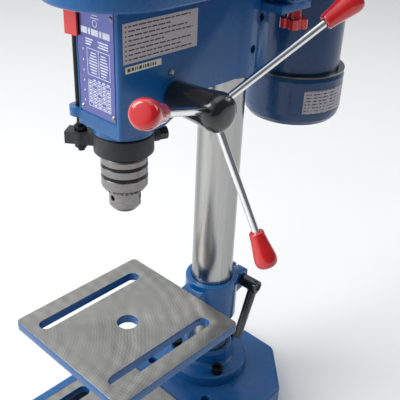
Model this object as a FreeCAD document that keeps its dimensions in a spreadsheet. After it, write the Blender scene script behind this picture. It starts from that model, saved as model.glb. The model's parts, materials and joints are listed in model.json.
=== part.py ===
import FreeCAD, Part
import math
import os
import Sketcher
from FreeCAD import Placement, Rotation, Vector

# Bench drill press. Millimetres. The column axis is x = y = 0, the bench is z = 0,
# the operator stands on the -Y side and +X is the operator's right.

doc = FreeCAD.newDocument("drill_press")
sheet = doc.addObject("Spreadsheet::Sheet", "sizes")

drivingSizes = {
    # column and base
    "column_radius": 23, "column_bore": 20, "column_top": 472,
    "base_half_width": 95, "base_front": -214, "base_back": 76, "base_top": 28,
    "base_skin": 8, "base_wall": 7, "pad_half_width": 82, "pad_front": -202, "pad_back": -75, "pad_rise": 2,
    "base_slot_x": 62, "base_slot_front": -190, "base_slot_back": -144, "slot_radius": 7,
    "bench_hole_x": 44, "bench_hole_y": -50, "bench_hole_radius": 5, "bench_boss_radius": 11,
    "flange_radius": 48, "flange_top": 42, "flange_neck_radius": 28.5, "flange_neck_top": 62,
    "flange_bolt_circle": 39, "flange_bolt_radius": 4, "flange_head_radius": 6.5, "flange_head_height": 8,
    # table and its bracket
    "table_half_width": 80, "table_front": -207, "table_back": -47, "table_top": 161.3, "table_thickness": 10,
    "table_hole_radius": 10.6, "table_slot_x": 54, "table_slot_front": -188, "table_slot_back": -73,
    "tilt_height": 135, "tilt_lug_radius": 18, "tilt_lug_length": 26, "tilt_bolt_radius": 5,
    "bracket_radius": 29.8, "bracket_top": 158.7, "bracket_bottom": 106, "bracket_front": -46.6,
    "clamp_y": 38, "clamp_height": 139, "clamp_stud_radius": 4, "lever_hub_radius": 7.5,
    # head
    "spindle_y": -127, "head_half_width": 28, "head_front": -154, "head_back": 28, "head_top": 488.5,
    "front_bottom": 381, "boss_bottom": 376, "rear_bottom": 402, "socket_radius": 32,
    "wing_half_width": 52, "wing_back": 58, "wing_top": 468, "wing_thickness": 7,
    "plate_half_width": 22, "plate_bottom": 395, "plate_top": 483,
    # quill, spindle and chuck
    "quill_radius": 20, "quill_bottom": 355, "quill_top": 462,
    "running_gap": 0.05, "loose_gap": 0.3,
    "spindle_radius": 8.5, "spline_radius": 7, "spindle_top": 548,
    "chuck_radius": 21, "chuck_bottom": 299.5, "nose_radius": 14.5,
    "jaw_radius": 3.2, "jaw_angle": 15, "jaw_length": 29,
    "rod_x": -31.5, "rod_y": -149, "rod_radius": 3, "rod_bottom": 352, "rod_top": 482,
    "collar_radius": 26.5, "collar_bottom": 357, "collar_top": 375,
    # feed
    "feed_y": -95.6, "feed_height": 406.8, "gear_module": 1.5, "pinion_teeth": 17, "feed_shaft_radius": 8,
    "spoke_x": 72.6, "spoke_radius": 3.25, "spoke_tilt": 22.3, "spoke_phase": 21.1, "knob_reach": 113,
    "knob_length": 34,
    # drive
    "motor_y": 120, "pulley_bottom": 492, "step_height": 12.5, "middle_radius": 33, "step_change": 6,
    "belt_depth": 6, "belt_width": 9.4, "sleeve_radius": 10, "motor_shaft_radius": 7,
    "cover_radius": 57, "cover_front": -134, "cover_split": 512, "cover_top": 578, "sheet_thickness": 1.5,
    "lid_thickness": 2.5, "hinge_x": -60.5,
    "motor_radius": 46.8, "motor_end_radius": 53.4, "motor_bottom": 326, "motor_lip": 381.5,
    "motor_wall": 3, "tension_x": 40, "tension_y": 51, "tension_travel": 12,
}


class Size(float):
    """A number that also carries the spreadsheet formula it comes from."""

    def __new__(cls, value, formula):
        made = float.__new__(cls, value)
        made.formula = formula
        return made

    def __add__(self, other):
        return Size(float(self) + float(other), "(%s + %s)" % (formula(self), formula(other)))

    def __radd__(self, other):
        return Size(float(other) + float(self), "(%s + %s)" % (formula(other), formula(self)))

    def __sub__(self, other):
        return Size(float(self) - float(other), "(%s - %s)" % (formula(self), formula(other)))

    def __rsub__(self, other):
        return Size(float(other) - float(self), "(%s - %s)" % (formula(other), formula(self)))

    def __mul__(self, other):
        return Size(float(self) * float(other), "(%s * %s)" % (formula(self), formula(other)))

    __rmul__ = __mul__

    def __truediv__(self, other):
        return Size(float(self) / float(other), "(%s / %s)" % (formula(self), formula(other)))

    def __neg__(self):
        return Size(-float(self), "(0 - %s)" % formula(self))


def formula(number):
    return number.formula if isinstance(number, Size) else "%.6f" % float(number)


class s:
    """The driving sizes, as s.name."""


for line, (alias, value) in enumerate(drivingSizes.items(), 1):
    sheet.set("A%d" % line, alias)
    sheet.set("B%d" % line, str(value))
    sheet.setAlias("B%d" % line, alias)
    setattr(s, alias, Size(value, "sizes." + alias))
doc.recompute()

alongX = Rotation(Vector(0, 1, 0), 90)
alongY = Rotation(Vector(1, 0, 0), -90)
subParts = []


# ---- helpers -------------------------------------------------------------------------

def place(thing, x=0, y=0, z=0, turn=None):
    thing.Placement = Placement(Vector(float(x), float(y), float(z)), turn or Rotation())
    for letter, number in zip("xyz", (x, y, z)):
        if isinstance(number, Size):
            thing.setExpression("Placement.Base." + letter, number.formula)
    return thing


def name_of(label):
    return "shape_" + label


def cylinder(label, radius, height, x=0, y=0, z=0, turn=None):
    made = doc.addObject("Part::Cylinder", name_of(label))
    made.setExpression("Radius", formula(radius))
    made.setExpression("Height", formula(height))
    return place(made, x, y, z, turn)


def cone(label, low, high, height, x=0, y=0, z=0, turn=None):
    made = doc.addObject("Part::Cone", name_of(label))
    made.setExpression("Radius1", formula(low))
    made.setExpression("Radius2", formula(high))
    made.setExpression("Height", formula(height))
    return place(made, x, y, z, turn)


def block(label, x, y, z, length, width, height):
    """A box from its lowest corner."""
    made = doc.addObject("Part::Box", name_of(label))
    made.setExpression("Length", formula(length))
    made.setExpression("Width", formula(width))
    made.setExpression("Height", formula(height))
    return place(made, x, y, z)


def ball(label, radius, x, y, z):
    made = doc.addObject("Part::Sphere", name_of(label))
    made.setExpression("Radius", formula(radius))
    return place(made, x, y, z)


def prism(label, sides, radius, height, x=0, y=0, z=0, turn=None):
    made = doc.addObject("Part::Prism", name_of(label))
    made.Polygon = sides
    made.setExpression("Circumradius", formula(radius))
    made.setExpression("Height", formula(height))
    return place(made, x, y, z, turn)


def joined(label, pieces):
    made = doc.addObject("Part::MultiFuse", name_of(label))
    made.Shapes = pieces
    made.Refine = True
    return made


def group(label, pieces):
    """Several separate solids that share one node."""
    made = doc.addObject("Part::Compound", name_of(label))
    made.Links = pieces
    return made


def cut(label, base, tools):
    made = doc.addObject("Part::Cut", name_of(label))
    made.Base = base
    made.Tool = tools[0] if len(tools) == 1 else joined(label + "_tools", tools)
    made.Refine = True
    return made


def keep(label, made):
    made.Label = label
    subParts.append(made)
    return made


def plain_body(label, x=0, y=0, z=0, turn=None):
    return place(doc.addObject("PartDesign::Body", "body_" + label), x, y, z, turn)


def new_body(label, x=0, y=0, z=0, turn=None):
    return keep(label, plain_body(label, x, y, z, turn))


def new_sketch(body, plane="XY_Plane", lift=0):
    sketch = body.newObject("Sketcher::SketchObject", "sketch_" + body.Label)
    face = [feature for feature in body.Origin.OriginFeatures if feature.Role == plane][0]
    sketch.AttachmentSupport = (face, [""])
    sketch.MapMode = "FlatFace"
    sketch.setExpression("AttachmentOffset.Base.z", formula(lift))
    return sketch


def pin_point(sketch, line, end, u, v):
    """Ties one end of a line, or a centre, to its place from the sketch's own origin."""
    for kind, number, axis in (("DistanceX", u, -2), ("DistanceY", v, -1)):
        if abs(float(number)) < 1e-9:
            sketch.addConstraint(Sketcher.Constraint("PointOnObject", line, end, axis))
        else:
            index = sketch.addConstraint(Sketcher.Constraint(kind, -1, 1, line, end, float(number)))
            sketch.setExpression("Constraints[%d]" % index, formula(number))


def draw_loop(sketch, points):
    """A closed outline of straight lines through the points."""
    count = len(points)
    first = sketch.GeometryCount
    for at in range(count):
        (u1, v1), (u2, v2) = points[at], points[(at + 1) % count]
        sketch.addGeometry(Part.LineSegment(Vector(u1, v1, 0), Vector(u2, v2, 0)), False)
    for at in range(count):
        after = first + (at + 1) % count
        sketch.addConstraint(Sketcher.Constraint("Coincident", first + at, 2, after, 1))
        pin_point(sketch, first + at, 1, *points[at])


def draw_circle(sketch, u, v, radius):
    at = sketch.addGeometry(Part.Circle(Vector(u, v, 0), Vector(0, 0, 1), radius), False)
    pin_point(sketch, at, 3, u, v)
    index = sketch.addConstraint(Sketcher.Constraint("Radius", at, float(radius)))
    sketch.setExpression("Constraints[%d]" % index, formula(radius))


def draw_slot(sketch, u, low, high, radius):
    """A round-ended slot that runs along the sketch's second axis between two centres."""
    half = math.pi
    up = sketch.addGeometry(Part.ArcOfCircle(Part.Circle(Vector(u, high, 0), Vector(0, 0, 1), radius), 0,
                                             half))
    left = sketch.addGeometry(Part.LineSegment(Vector(u - radius, high, 0), Vector(u - radius, low, 0)))
    down = sketch.addGeometry(
        Part.ArcOfCircle(Part.Circle(Vector(u, low, 0), Vector(0, 0, 1), radius), half, 2 * half))
    right = sketch.addGeometry(Part.LineSegment(Vector(u + radius, low, 0), Vector(u + radius, high, 0)))
    for one, one_end, other, other_end in ((up, 2, left, 1), (left, 2, down, 1), (down, 2, right, 1),
                                           (right, 2, up, 1)):
        sketch.addConstraint(Sketcher.Constraint("Tangent", one, one_end, other, other_end))
    pin_point(sketch, up, 3, u, high)
    pin_point(sketch, down, 3, u, low)
    index = sketch.addConstraint(Sketcher.Constraint("Radius", up, float(radius)))
    sketch.setExpression("Constraints[%d]" % index, formula(radius))


def pad(body, sketch, length, middle=False):
    made = body.newObject("PartDesign::Pad", "pad_" + body.Label)
    made.Profile = sketch
    made.setExpression("Length", formula(length))
    if middle:
        made.SideType = "Symmetric"
    doc.recompute()
    return made


def pocket(body, sketch, depth, upwards=False, middle=False):
    """Cuts below the sketch, or above it when upwards is set, and insists that it cut something."""
    before = body.Shape.Volume
    made = body.newObject("PartDesign::Pocket", "pocket_" + body.Label)
    made.Profile = sketch
    made.setExpression("Length", formula(depth))
    made.Reversed = upwards
    if middle:
        made.SideType = "Symmetric"
    doc.recompute()
    if body.Shape.Volume > before - 1e-3:
        raise RuntimeError("a pocket cut nothing: " + body.Label)
    return made


def turned(label, points, x=0, y=0, z=0, turn=None):
    """A piece turned about its own Z axis from (radius, height) points."""
    body = new_body(label, x, y, z, turn)
    sketch = new_sketch(body, "XZ_Plane")
    draw_loop(sketch, points)
    made = body.newObject("PartDesign::Revolution", "turn_" + label)
    made.Profile = sketch
    made.ReferenceAxis = (sketch, ["V_Axis"])
    made.Angle = 360
    doc.recompute()
    return body


def edges_where(feature, test):
    found = []
    for number, edge in enumerate(feature.Shape.Edges, 1):
        if test(edge, edge.BoundBox):
            found.append("Edge%d" % number)
    return found


def flat_at(height):
    return lambda edge, box: box.ZLength < 1e-4 and abs(box.ZMin - float(height)) < 1e-4


def upright(edge, box):
    return box.XLength < 1e-4 and box.YLength < 1e-4 and box.ZLength > 1


def rounded(body, test, radius, kind="Fillet"):
    base = body.Tip
    names = edges_where(base, test)
    if not names:
        raise RuntimeError("no edge to round on " + body.Label)
    made = body.newObject("PartDesign::" + kind, kind + "_" + body.Label)
    made.Base = (base, names)
    made.setExpression("Radius" if kind == "Fillet" else "Size", formula(radius))
    doc.recompute()
    return made


def around(radius, angle, x=0, y=0):
    turn = math.radians(angle)
    return (x + radius * math.cos(turn), y + radius * math.sin(turn))


# ---- base and column -----------------------------------------------------------------

def build_base():
    body = new_body("base")
    sketch = new_sketch(body)
    draw_loop(sketch, [(-s.base_half_width, s.base_front), (s.base_half_width, s.base_front),
                       (s.base_half_width, s.base_back - 50), (s.base_half_width - 50, s.base_back),
                       (50 - s.base_half_width, s.base_back), (-s.base_half_width, s.base_back - 50)])
    pad(body, sketch, s.base_top)
    rounded(body, lambda edge, box: upright(edge, box) and box.YMin < -200, 24)
    rounded(body, lambda edge, box: upright(edge, box) and box.YMin > 0, 14)
    rounded(body, flat_at(s.base_top), 4)
    under = new_sketch(body)
    inner = s.base_half_width - s.base_wall
    draw_loop(under, [(-inner, s.base_front + s.base_wall + 14), (14 - inner, s.base_front + s.base_wall),
                      (inner - 14, s.base_front + s.base_wall), (inner, s.base_front + s.base_wall + 14),
                      (inner, s.base_back - 53), (inner - 46, s.base_back - s.base_wall),
                      (46 - inner, s.base_back - s.base_wall), (-inner, s.base_back - 53)])
    pocket(body, under, s.base_top - s.base_skin, upwards=True)
    raised = new_sketch(body, lift=s.base_top - 1)
    draw_loop(raised, [(-s.pad_half_width, s.pad_front), (s.pad_half_width, s.pad_front),
                       (s.pad_half_width, s.pad_back), (-s.pad_half_width, s.pad_back)])
    pad(body, raised, s.pad_rise + 1)
    rounded(body, lambda edge, box: upright(edge, box) and box.ZMin > 27, 0.9)
    bosses = new_sketch(body)
    for side in (-1, 1):
        draw_circle(bosses, side * s.bench_hole_x, s.bench_hole_y, s.bench_boss_radius)
    draw_circle(bosses, 0, 0, 30)
    pad(body, bosses, s.base_top - 2)
    holes = new_sketch(body)
    for side in (-1, 1):
        draw_circle(holes, side * s.bench_hole_x, s.bench_hole_y, s.bench_hole_radius)
        draw_slot(holes, side * s.base_slot_x, s.base_slot_front, s.base_slot_back, s.slot_radius)
    pocket(body, holes, s.base_top + 10, upwards=True)


def build_column():
    tube = cylinder("tube", s.column_radius, s.column_top - s.base_top - 1, z=s.base_top + 1)
    bore = cylinder("tube_bore", s.column_bore, s.column_top, z=s.base_top)
    keep("column", cut("column", tube, [bore]))
    flange = turned("column_flange", [
        (s.column_radius, s.base_top), (s.flange_radius, s.base_top), (s.flange_radius, s.flange_top - 1.5),
        (s.flange_radius - 1.5, s.flange_top), (s.flange_neck_radius + 3, s.flange_top),
        (s.flange_neck_radius, s.flange_top + 3), (s.flange_neck_radius, s.flange_neck_top - 2),
        (s.flange_neck_radius - 2, s.flange_neck_top), (s.column_radius, s.flange_neck_top)])
    holes = new_sketch(flange, lift=s.base_top)
    heads = []
    for number, angle in enumerate((-30, 90, 210)):
        u, v = around(1, angle)
        x, y = s.flange_bolt_circle * u, s.flange_bolt_circle * v
        draw_circle(holes, x, y, s.flange_bolt_radius)
        bolt = "flange_bolt%d" % number
        shank = cylinder(bolt, s.flange_bolt_radius, s.flange_top - s.base_top, x, y, s.base_top)
        head = cylinder(bolt + "_head", s.flange_head_radius, s.flange_head_height, x, y, s.flange_top)
        socket = prism(bolt + "_socket", 6, s.flange_bolt_radius, 5, x, y,
                       s.flange_top + s.flange_head_height - 4)
        heads.append(cut(bolt + "_cut", joined(bolt + "_whole", [shank, head]), [socket]))
    pocket(flange, holes, s.flange_top - s.base_top + 1, upwards=True)
    keep("flange_bolts", group("flange_bolts", heads))


# ---- table ---------------------------------------------------------------------------

def build_bracket():
    body = new_body("table_bracket")
    rise = s.bracket_top - s.bracket_bottom
    collar = new_sketch(body, lift=s.bracket_bottom)
    draw_circle(collar, 0, 0, s.bracket_radius)
    pad(body, collar, rise)
    ears = new_sketch(body, "YZ_Plane")
    draw_loop(ears, [(22, s.clamp_height - 16), (s.clamp_y + 9, s.clamp_height - 10),
                     (s.clamp_y + 9, s.clamp_height + 10), (22, s.clamp_height + 16)])
    pad(body, ears, 32, middle=True)
    arm = new_sketch(body, "YZ_Plane")
    draw_loop(arm, [(-20, s.tilt_height - 22), (s.bracket_front + 10, s.tilt_height - 15),
                    (s.bracket_front + 2, s.tilt_height - 15), (s.bracket_front + 2, s.tilt_height + 13),
                    (s.bracket_front + 10, s.tilt_height + 13), (-20, s.tilt_height + 18)])
    pad(body, arm, 28, middle=True)
    boss = new_sketch(body, "XZ_Plane", lift=-s.bracket_front - 10)
    draw_circle(boss, 0, s.tilt_height, s.tilt_lug_radius)
    pad(body, boss, 10)
    rounded(body, lambda edge, box: box.XMin < -10 and box.XMax > 10 and box.XLength > 30
            and flat_at(s.bracket_top)(edge, box), 1.5)
    bore = new_sketch(body, lift=s.bracket_bottom)
    draw_circle(bore, 0, 0, s.column_radius + s.running_gap)
    pocket(body, bore, rise, upwards=True)
    split = new_sketch(body, lift=s.bracket_bottom)
    draw_loop(split, [(-1.5, 20), (1.5, 20), (1.5, 60), (-1.5, 60)])
    pocket(body, split, rise, upwards=True)
    stud = new_sketch(body, "YZ_Plane")
    draw_circle(stud, s.clamp_y, s.clamp_height, s.clamp_stud_radius + s.running_gap)
    pocket(body, stud, 60, middle=True)
    pivot = new_sketch(body, "XZ_Plane", lift=-s.bracket_front - 15)
    draw_circle(pivot, 0, s.tilt_height, s.tilt_bolt_radius)
    pocket(body, pivot, 20, upwards=True)


def build_clamp():
    left = -22
    stud = cylinder("clamp_stud_shank", s.clamp_stud_radius, 60, left, s.clamp_y, s.clamp_height, alongX)
    head = prism("clamp_stud_head", 6, s.clamp_stud_radius + 3, 5.6, left, s.clamp_y, s.clamp_height, alongX)
    keep("clamp_stud", joined("clamp_stud", [stud, head]))
    hub = cylinder("lever_hub", s.lever_hub_radius, 22.6, 16.4, s.clamp_y, s.clamp_height, alongX)
    lean = Rotation(Vector(1, 0, 0), 180 - 20)     # hangs down, its tip towards the operator
    down = math.radians(20)
    foot_y, foot_z = s.clamp_y - 6 * math.sin(down), s.clamp_height - 6 * math.cos(down)
    arm = cone("lever_arm", 5.6, 4.8, 62, 33.1, foot_y, foot_z, lean)
    bore = cylinder("lever_bore", s.clamp_stud_radius + s.running_gap, 30, 10, s.clamp_y, s.clamp_height,
                    alongX)
    keep("clamp_lever", cut("clamp_lever", joined("lever_whole", [hub, arm]), [bore]))


def build_table():
    body = new_body("table")
    top = new_sketch(body, lift=s.table_top - s.table_thickness)
    draw_loop(top, [(-s.table_half_width, s.table_front), (s.table_half_width, s.table_front),
                    (s.table_half_width, s.table_back), (-s.table_half_width, s.table_back)])
    pad(body, top, s.table_thickness)
    rounded(body, upright, 5)
    lug = new_sketch(body, "XZ_Plane", lift=-s.table_back)
    draw_circle(lug, 0, s.tilt_height, s.tilt_lug_radius)
    pad(body, lug, s.tilt_lug_length)
    web = new_sketch(body, "XZ_Plane", lift=-s.table_back)
    low = s.tilt_height
    draw_loop(web, [(-s.tilt_lug_radius, low), (s.tilt_lug_radius, low),
                    (s.tilt_lug_radius + 12, s.table_top - 5), (-s.tilt_lug_radius - 12, s.table_top - 5)])
    pad(body, web, s.tilt_lug_length)
    for side in (-1, 1):
        rib = new_sketch(body, "YZ_Plane", lift=side * 32)
        draw_loop(rib, [(s.table_front + 12, s.table_top - 14), (s.table_front + 12, s.table_top - 5),
                        (s.table_back - 8, s.table_top - 5), (s.table_back - 8, s.table_top - 18)])
        pad(body, rib, 6, middle=True)
    holes = new_sketch(body, lift=s.table_top)
    draw_circle(holes, 0, s.spindle_y, s.table_hole_radius)
    for side in (-1, 1):
        draw_slot(holes, side * s.table_slot_x, s.table_slot_front, s.table_slot_back, s.slot_radius)
    pocket(body, holes, s.table_thickness + 1)
    pivot = new_sketch(body, "XZ_Plane", lift=-s.table_back)
    draw_circle(pivot, 0, s.tilt_height, s.tilt_bolt_radius + s.running_gap)
    pocket(body, pivot, s.tilt_lug_length + 1, upwards=True)
    front = s.table_back - s.tilt_lug_length
    shank = cylinder("tilt_bolt_shank", s.tilt_bolt_radius, s.tilt_lug_length + 10, 0, front - 1,
                     s.tilt_height, alongY)
    head = prism("tilt_bolt_head", 6, 9, 6.5, 0, front - 6.8, s.tilt_height, alongY)
    keep("tilt_bolt", joined("tilt_bolt", [shank, head]))


# ---- head ----------------------------------------------------------------------------

def build_head():
    body = new_body("head_casting")
    side = new_sketch(body, "YZ_Plane")
    draw_loop(side, [(s.head_front, s.head_top), (s.head_front, s.front_bottom),
                     (s.feed_y - 10, s.front_bottom),
                     (s.feed_y + 8, s.front_bottom + 8), (s.feed_y + 22, s.rear_bottom), (s.head_back,
                             s.rear_bottom),
                     (s.head_back, s.head_top)])
    pad(body, side, s.head_half_width * 2, middle=True)
    rounded(body, lambda edge, box: upright(edge, box) and box.YMin < s.head_front + 1, 3)
    boss = new_sketch(body, lift=s.boss_bottom)
    draw_circle(boss, 0, s.spindle_y, s.head_half_width - 1)
    pad(body, boss, s.rear_bottom - s.boss_bottom)
    socket = new_sketch(body, lift=s.rear_bottom)
    draw_circle(socket, 0, 0, s.socket_radius)
    pad(body, socket, s.head_top - s.rear_bottom)
    wing = new_sketch(body, lift=s.wing_top - s.wing_thickness)
    draw_loop(wing, [(-s.wing_half_width, 14), (s.wing_half_width, 14), (s.wing_half_width, s.wing_back),
                     (-s.wing_half_width, s.wing_back)])
    pad(body, wing, s.wing_thickness)
    feed = new_sketch(body, "YZ_Plane", lift=s.head_half_width - 1)
    draw_circle(feed, s.feed_y, s.feed_height, 15.6)
    pad(body, feed, 3)
    ear = new_sketch(body, lift=s.boss_bottom + 10)
    draw_circle(ear, s.rod_x, s.rod_y, 8.5)
    pad(body, ear, 8)
    link = new_sketch(body, lift=s.boss_bottom + 10)
    draw_loop(link, [(s.rod_x, s.rod_y - 8.5), (-20, s.head_front + 1), (-20, s.rod_y + 12),
                     (s.rod_x, s.rod_y + 8.5)])
    pad(body, link, 8)
    channel = new_sketch(body, lift=s.boss_bottom + 18)
    draw_loop(channel, [(-s.head_half_width - 3, s.head_front - 1),
                        (-s.head_half_width + 4, s.head_front - 1),
                        (-s.head_half_width + 4, s.rod_y + 11), (-s.head_half_width - 3, s.rod_y + 11)])
    pocket(body, channel, 120, upwards=True)

    front = new_sketch(body, "XZ_Plane", lift=-s.head_front)
    draw_loop(front, [(-s.plate_half_width - 0.5, s.plate_bottom - 1.5),
                      (s.plate_half_width + 1.5, s.plate_bottom - 1.5),
                      (s.plate_half_width + 1.5, s.head_top + 1), (-s.plate_half_width - 0.5,
                              s.head_top + 1)])
    pocket(body, front, 0.8)
    bore = new_sketch(body, lift=s.boss_bottom)
    draw_circle(bore, 0, s.spindle_y, s.quill_radius + s.running_gap)
    pocket(body, bore, s.quill_top + 1.5 - s.boss_bottom, upwards=True)
    throat = new_sketch(body, lift=s.quill_top)
    draw_circle(throat, 0, s.spindle_y, 14)
    pocket(body, throat, 30, upwards=True)
    seat = new_sketch(body, lift=s.head_top - 24)
    draw_circle(seat, 0, s.spindle_y, 21)
    pocket(body, seat, 30, upwards=True)
    column = new_sketch(body, lift=s.rear_bottom)
    draw_circle(column, 0, 0, s.column_radius)
    pocket(body, column, s.column_top - s.rear_bottom, upwards=True)
    pinion = new_sketch(body, "YZ_Plane")
    draw_circle(pinion, s.feed_y, s.feed_height, 14.8)
    pocket(body, pinion, 25, middle=True)
    shaft = new_sketch(body, "YZ_Plane")
    draw_circle(shaft, s.feed_y, s.feed_height, s.feed_shaft_radius + s.running_gap)
    pocket(body, shaft, 80, middle=True)
    rod_hole = new_sketch(body, lift=s.boss_bottom)
    draw_circle(rod_hole, s.rod_x, s.rod_y, s.rod_radius + s.loose_gap)
    pocket(body, rod_hole, 30, upwards=True)
    slots = new_sketch(body, lift=s.wing_top)
    for side in (-1, 1):
        draw_slot(slots, side * s.tension_x, s.tension_y - s.tension_travel, s.tension_y, 3.4)
    pocket(body, slots, s.wing_thickness + 1)
    screws = new_sketch(body, "YZ_Plane", lift=s.socket_radius + 1)
    for y, z in ((3, 427.5), (17, 453.7)):
        draw_circle(screws, y, z, 4)
    pocket(body, screws, s.socket_radius + 1 - 15)


def build_head_trim():
    grubs = []
    for number, (y, z) in enumerate(((3, 427.5), (17, 453.7))):
        reach = math.sqrt(s.column_radius ** 2 - y ** 2)
        plug = cylinder("grub%d" % number, 4, 27 - reach, reach, y, z, alongX)
        hexagon = prism("grub_hex%d" % number, 6, 2.2, 4, 24, y, z, alongX)
        column = cylinder("grub_column%d" % number, s.column_radius, 40, 0, 0, z - 20)
        grubs.append(cut("grub_cut%d" % number, plug, [hexagon, column]))
    keep("head_set_screws", group("head_set_screws", grubs))
    plate_y = s.head_front + 0.2
    plate = block("plate_blank", -s.plate_half_width, plate_y, s.plate_bottom, s.plate_half_width * 2, 0.6,
                  s.plate_top - s.plate_bottom)
    spots = [(side * 19.3, height) for side in (-1, 1) for height in (s.plate_bottom + 3.4, s.plate_top - 5)]
    pins = [cylinder("rivet_hole%d" % number, 1.2, 3, x, plate_y - 1, z, alongY) for number,
            (x, z) in enumerate(spots)]
    keep("data_plate", cut("data_plate", plate, pins))
    rivets = []
    for number, (x, z) in enumerate(spots):
        stem = cylinder("rivet_stem%d" % number, 1.2, 0.6, x, plate_y, z, alongY)
        dome = cone("rivet_head%d" % number, 1.3, 2.3, 0.9, x, plate_y - 0.9, z, alongY)
        rivets.append(joined("rivet%d" % number, [stem, dome]))
    keep("plate_rivets", group("plate_rivets", rivets))
    keep("info_label", block("info_label", s.head_half_width, -150, 444, 0.3, 81, 31.5))
    keep("guide_screw", joined("guide_screw", [
        cylinder("guide_screw_rim", 2.6, 1.2, s.head_half_width, -98.7, 427.4, alongX),
        cylinder("guide_screw_top", 1.8, 1.7, s.head_half_width, -98.7, 427.4, alongX)]))


def bearing(label, inner, outer, width, z):
    """A ball bearing: two grooved rings and their balls, on the spindle axis."""
    middle = (inner + outer) / 2
    gauge = (outer - inner) * 0.27
    ball_radius = (outer - inner) * 0.24
    lift = z + width / 2
    rings = []
    for part, low, high in (("inner", inner, middle - gauge * 0.62), ("outer", middle + gauge * 0.62, outer)):
        whole = cylinder(label + part, high, width, 0, s.spindle_y, z)
        hole = cylinder(label + part + "_hole", low, width + 2, 0, s.spindle_y, z - 1)
        race = doc.addObject("Part::Torus", name_of(label + part + "_race"))
        race.setExpression("Radius1", formula(middle))
        race.setExpression("Radius2", formula(gauge * 0.98))
        place(race, 0, s.spindle_y, lift)
        rings.append(cut(label + part + "_ring", whole, [hole, race]))
    for number in range(8):
        u, v = around(1, number * 45)
        rings.append(ball(label + "ball%d" % number, ball_radius, middle * u, s.spindle_y + middle * v, lift))
    return rings


# ---- quill, spindle and chuck --------------------------------------------------------

def build_quill():
    low, seat = s.quill_bottom, 15.5
    body = turned("quill", [
        (12, low), (16.5, low), (16.5, low + 2), (s.quill_radius, low + 2), (s.quill_radius, s.quill_top),
        (seat, s.quill_top), (seat, s.quill_top - 10), (12, s.quill_top - 10), (12, low + 13),
        (seat, low + 13), (seat, low + 3), (12, low + 3)], y=s.spindle_y)
    pitch = math.pi * s.gear_module
    line = s.feed_y - s.spindle_y - s.gear_module * s.pinion_teeth / 2      # pitch line of the rack
    root, tip = line - s.gear_module * 1.3, s.quill_radius + 2
    start = s.feed_height - pitch * 3
    half = pitch * 0.28
    rack = new_sketch(body, "YZ_Plane")
    draw_loop(rack, [(root, start - half * 0.42), (tip, start - half * 1.9), (tip, start + half * 1.9),
                     (root, start + half * 0.42)])
    pocket(body, rack, 23, middle=True)
    repeat = body.newObject("PartDesign::LinearPattern", "rack_teeth")
    repeat.Originals = [body.Tip]
    repeat.Direction = (rack, ["V_Axis"])
    repeat.Occurrences = 15
    repeat.setExpression("Length", formula(pitch * 14))
    body.Tip = repeat
    doc.recompute()
    keep("quill_bearings", group("quill_bearings",
                                 bearing("low_bearing", s.spindle_radius + s.running_gap, seat, 9, low + 3.5)
                                 + bearing("top_bearing", s.spindle_radius + s.running_gap, seat, 9,
                                           s.quill_top - 9.5)))


def build_spindle():
    body = turned("spindle", [
        (0, 331), (7.4, 331), (7.9, 349.2), (11.5, 349.8), (11.5,
                                                            s.quill_bottom + 2.4), (s.spindle_radius,
                                                                    s.quill_bottom + 2.4),
        (s.spindle_radius, s.quill_top), (s.spline_radius, s.quill_top + 0.5), (s.spline_radius,
                s.spindle_top - 1),
        (s.spline_radius - 1, s.spindle_top), (0, s.spindle_top)], y=s.spindle_y)
    flats = new_sketch(body, lift=s.spindle_top)
    for side in (-1, 1):
        draw_loop(flats, [(side * (s.spline_radius - 1), -s.spline_radius),
                          (side * (s.spline_radius + 2), -s.spline_radius),
                          (side * (s.spline_radius + 2), s.spline_radius), (side * (s.spline_radius - 1),
                                  s.spline_radius)])
    pocket(body, flats, s.spindle_top - s.quill_top - 2)


def jaw_axis(angle):
    """Where a jaw's centre line starts, and the way it points as the jaw opens."""
    lean = math.radians(s.jaw_angle)
    u, v = around(1, angle)
    start = Vector(3.1 * u, s.spindle_y + 3.1 * v, float(s.chuck_bottom) + 0.6)
    return start, Vector(math.sin(lean) * u, math.sin(lean) * v, math.cos(lean))


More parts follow.
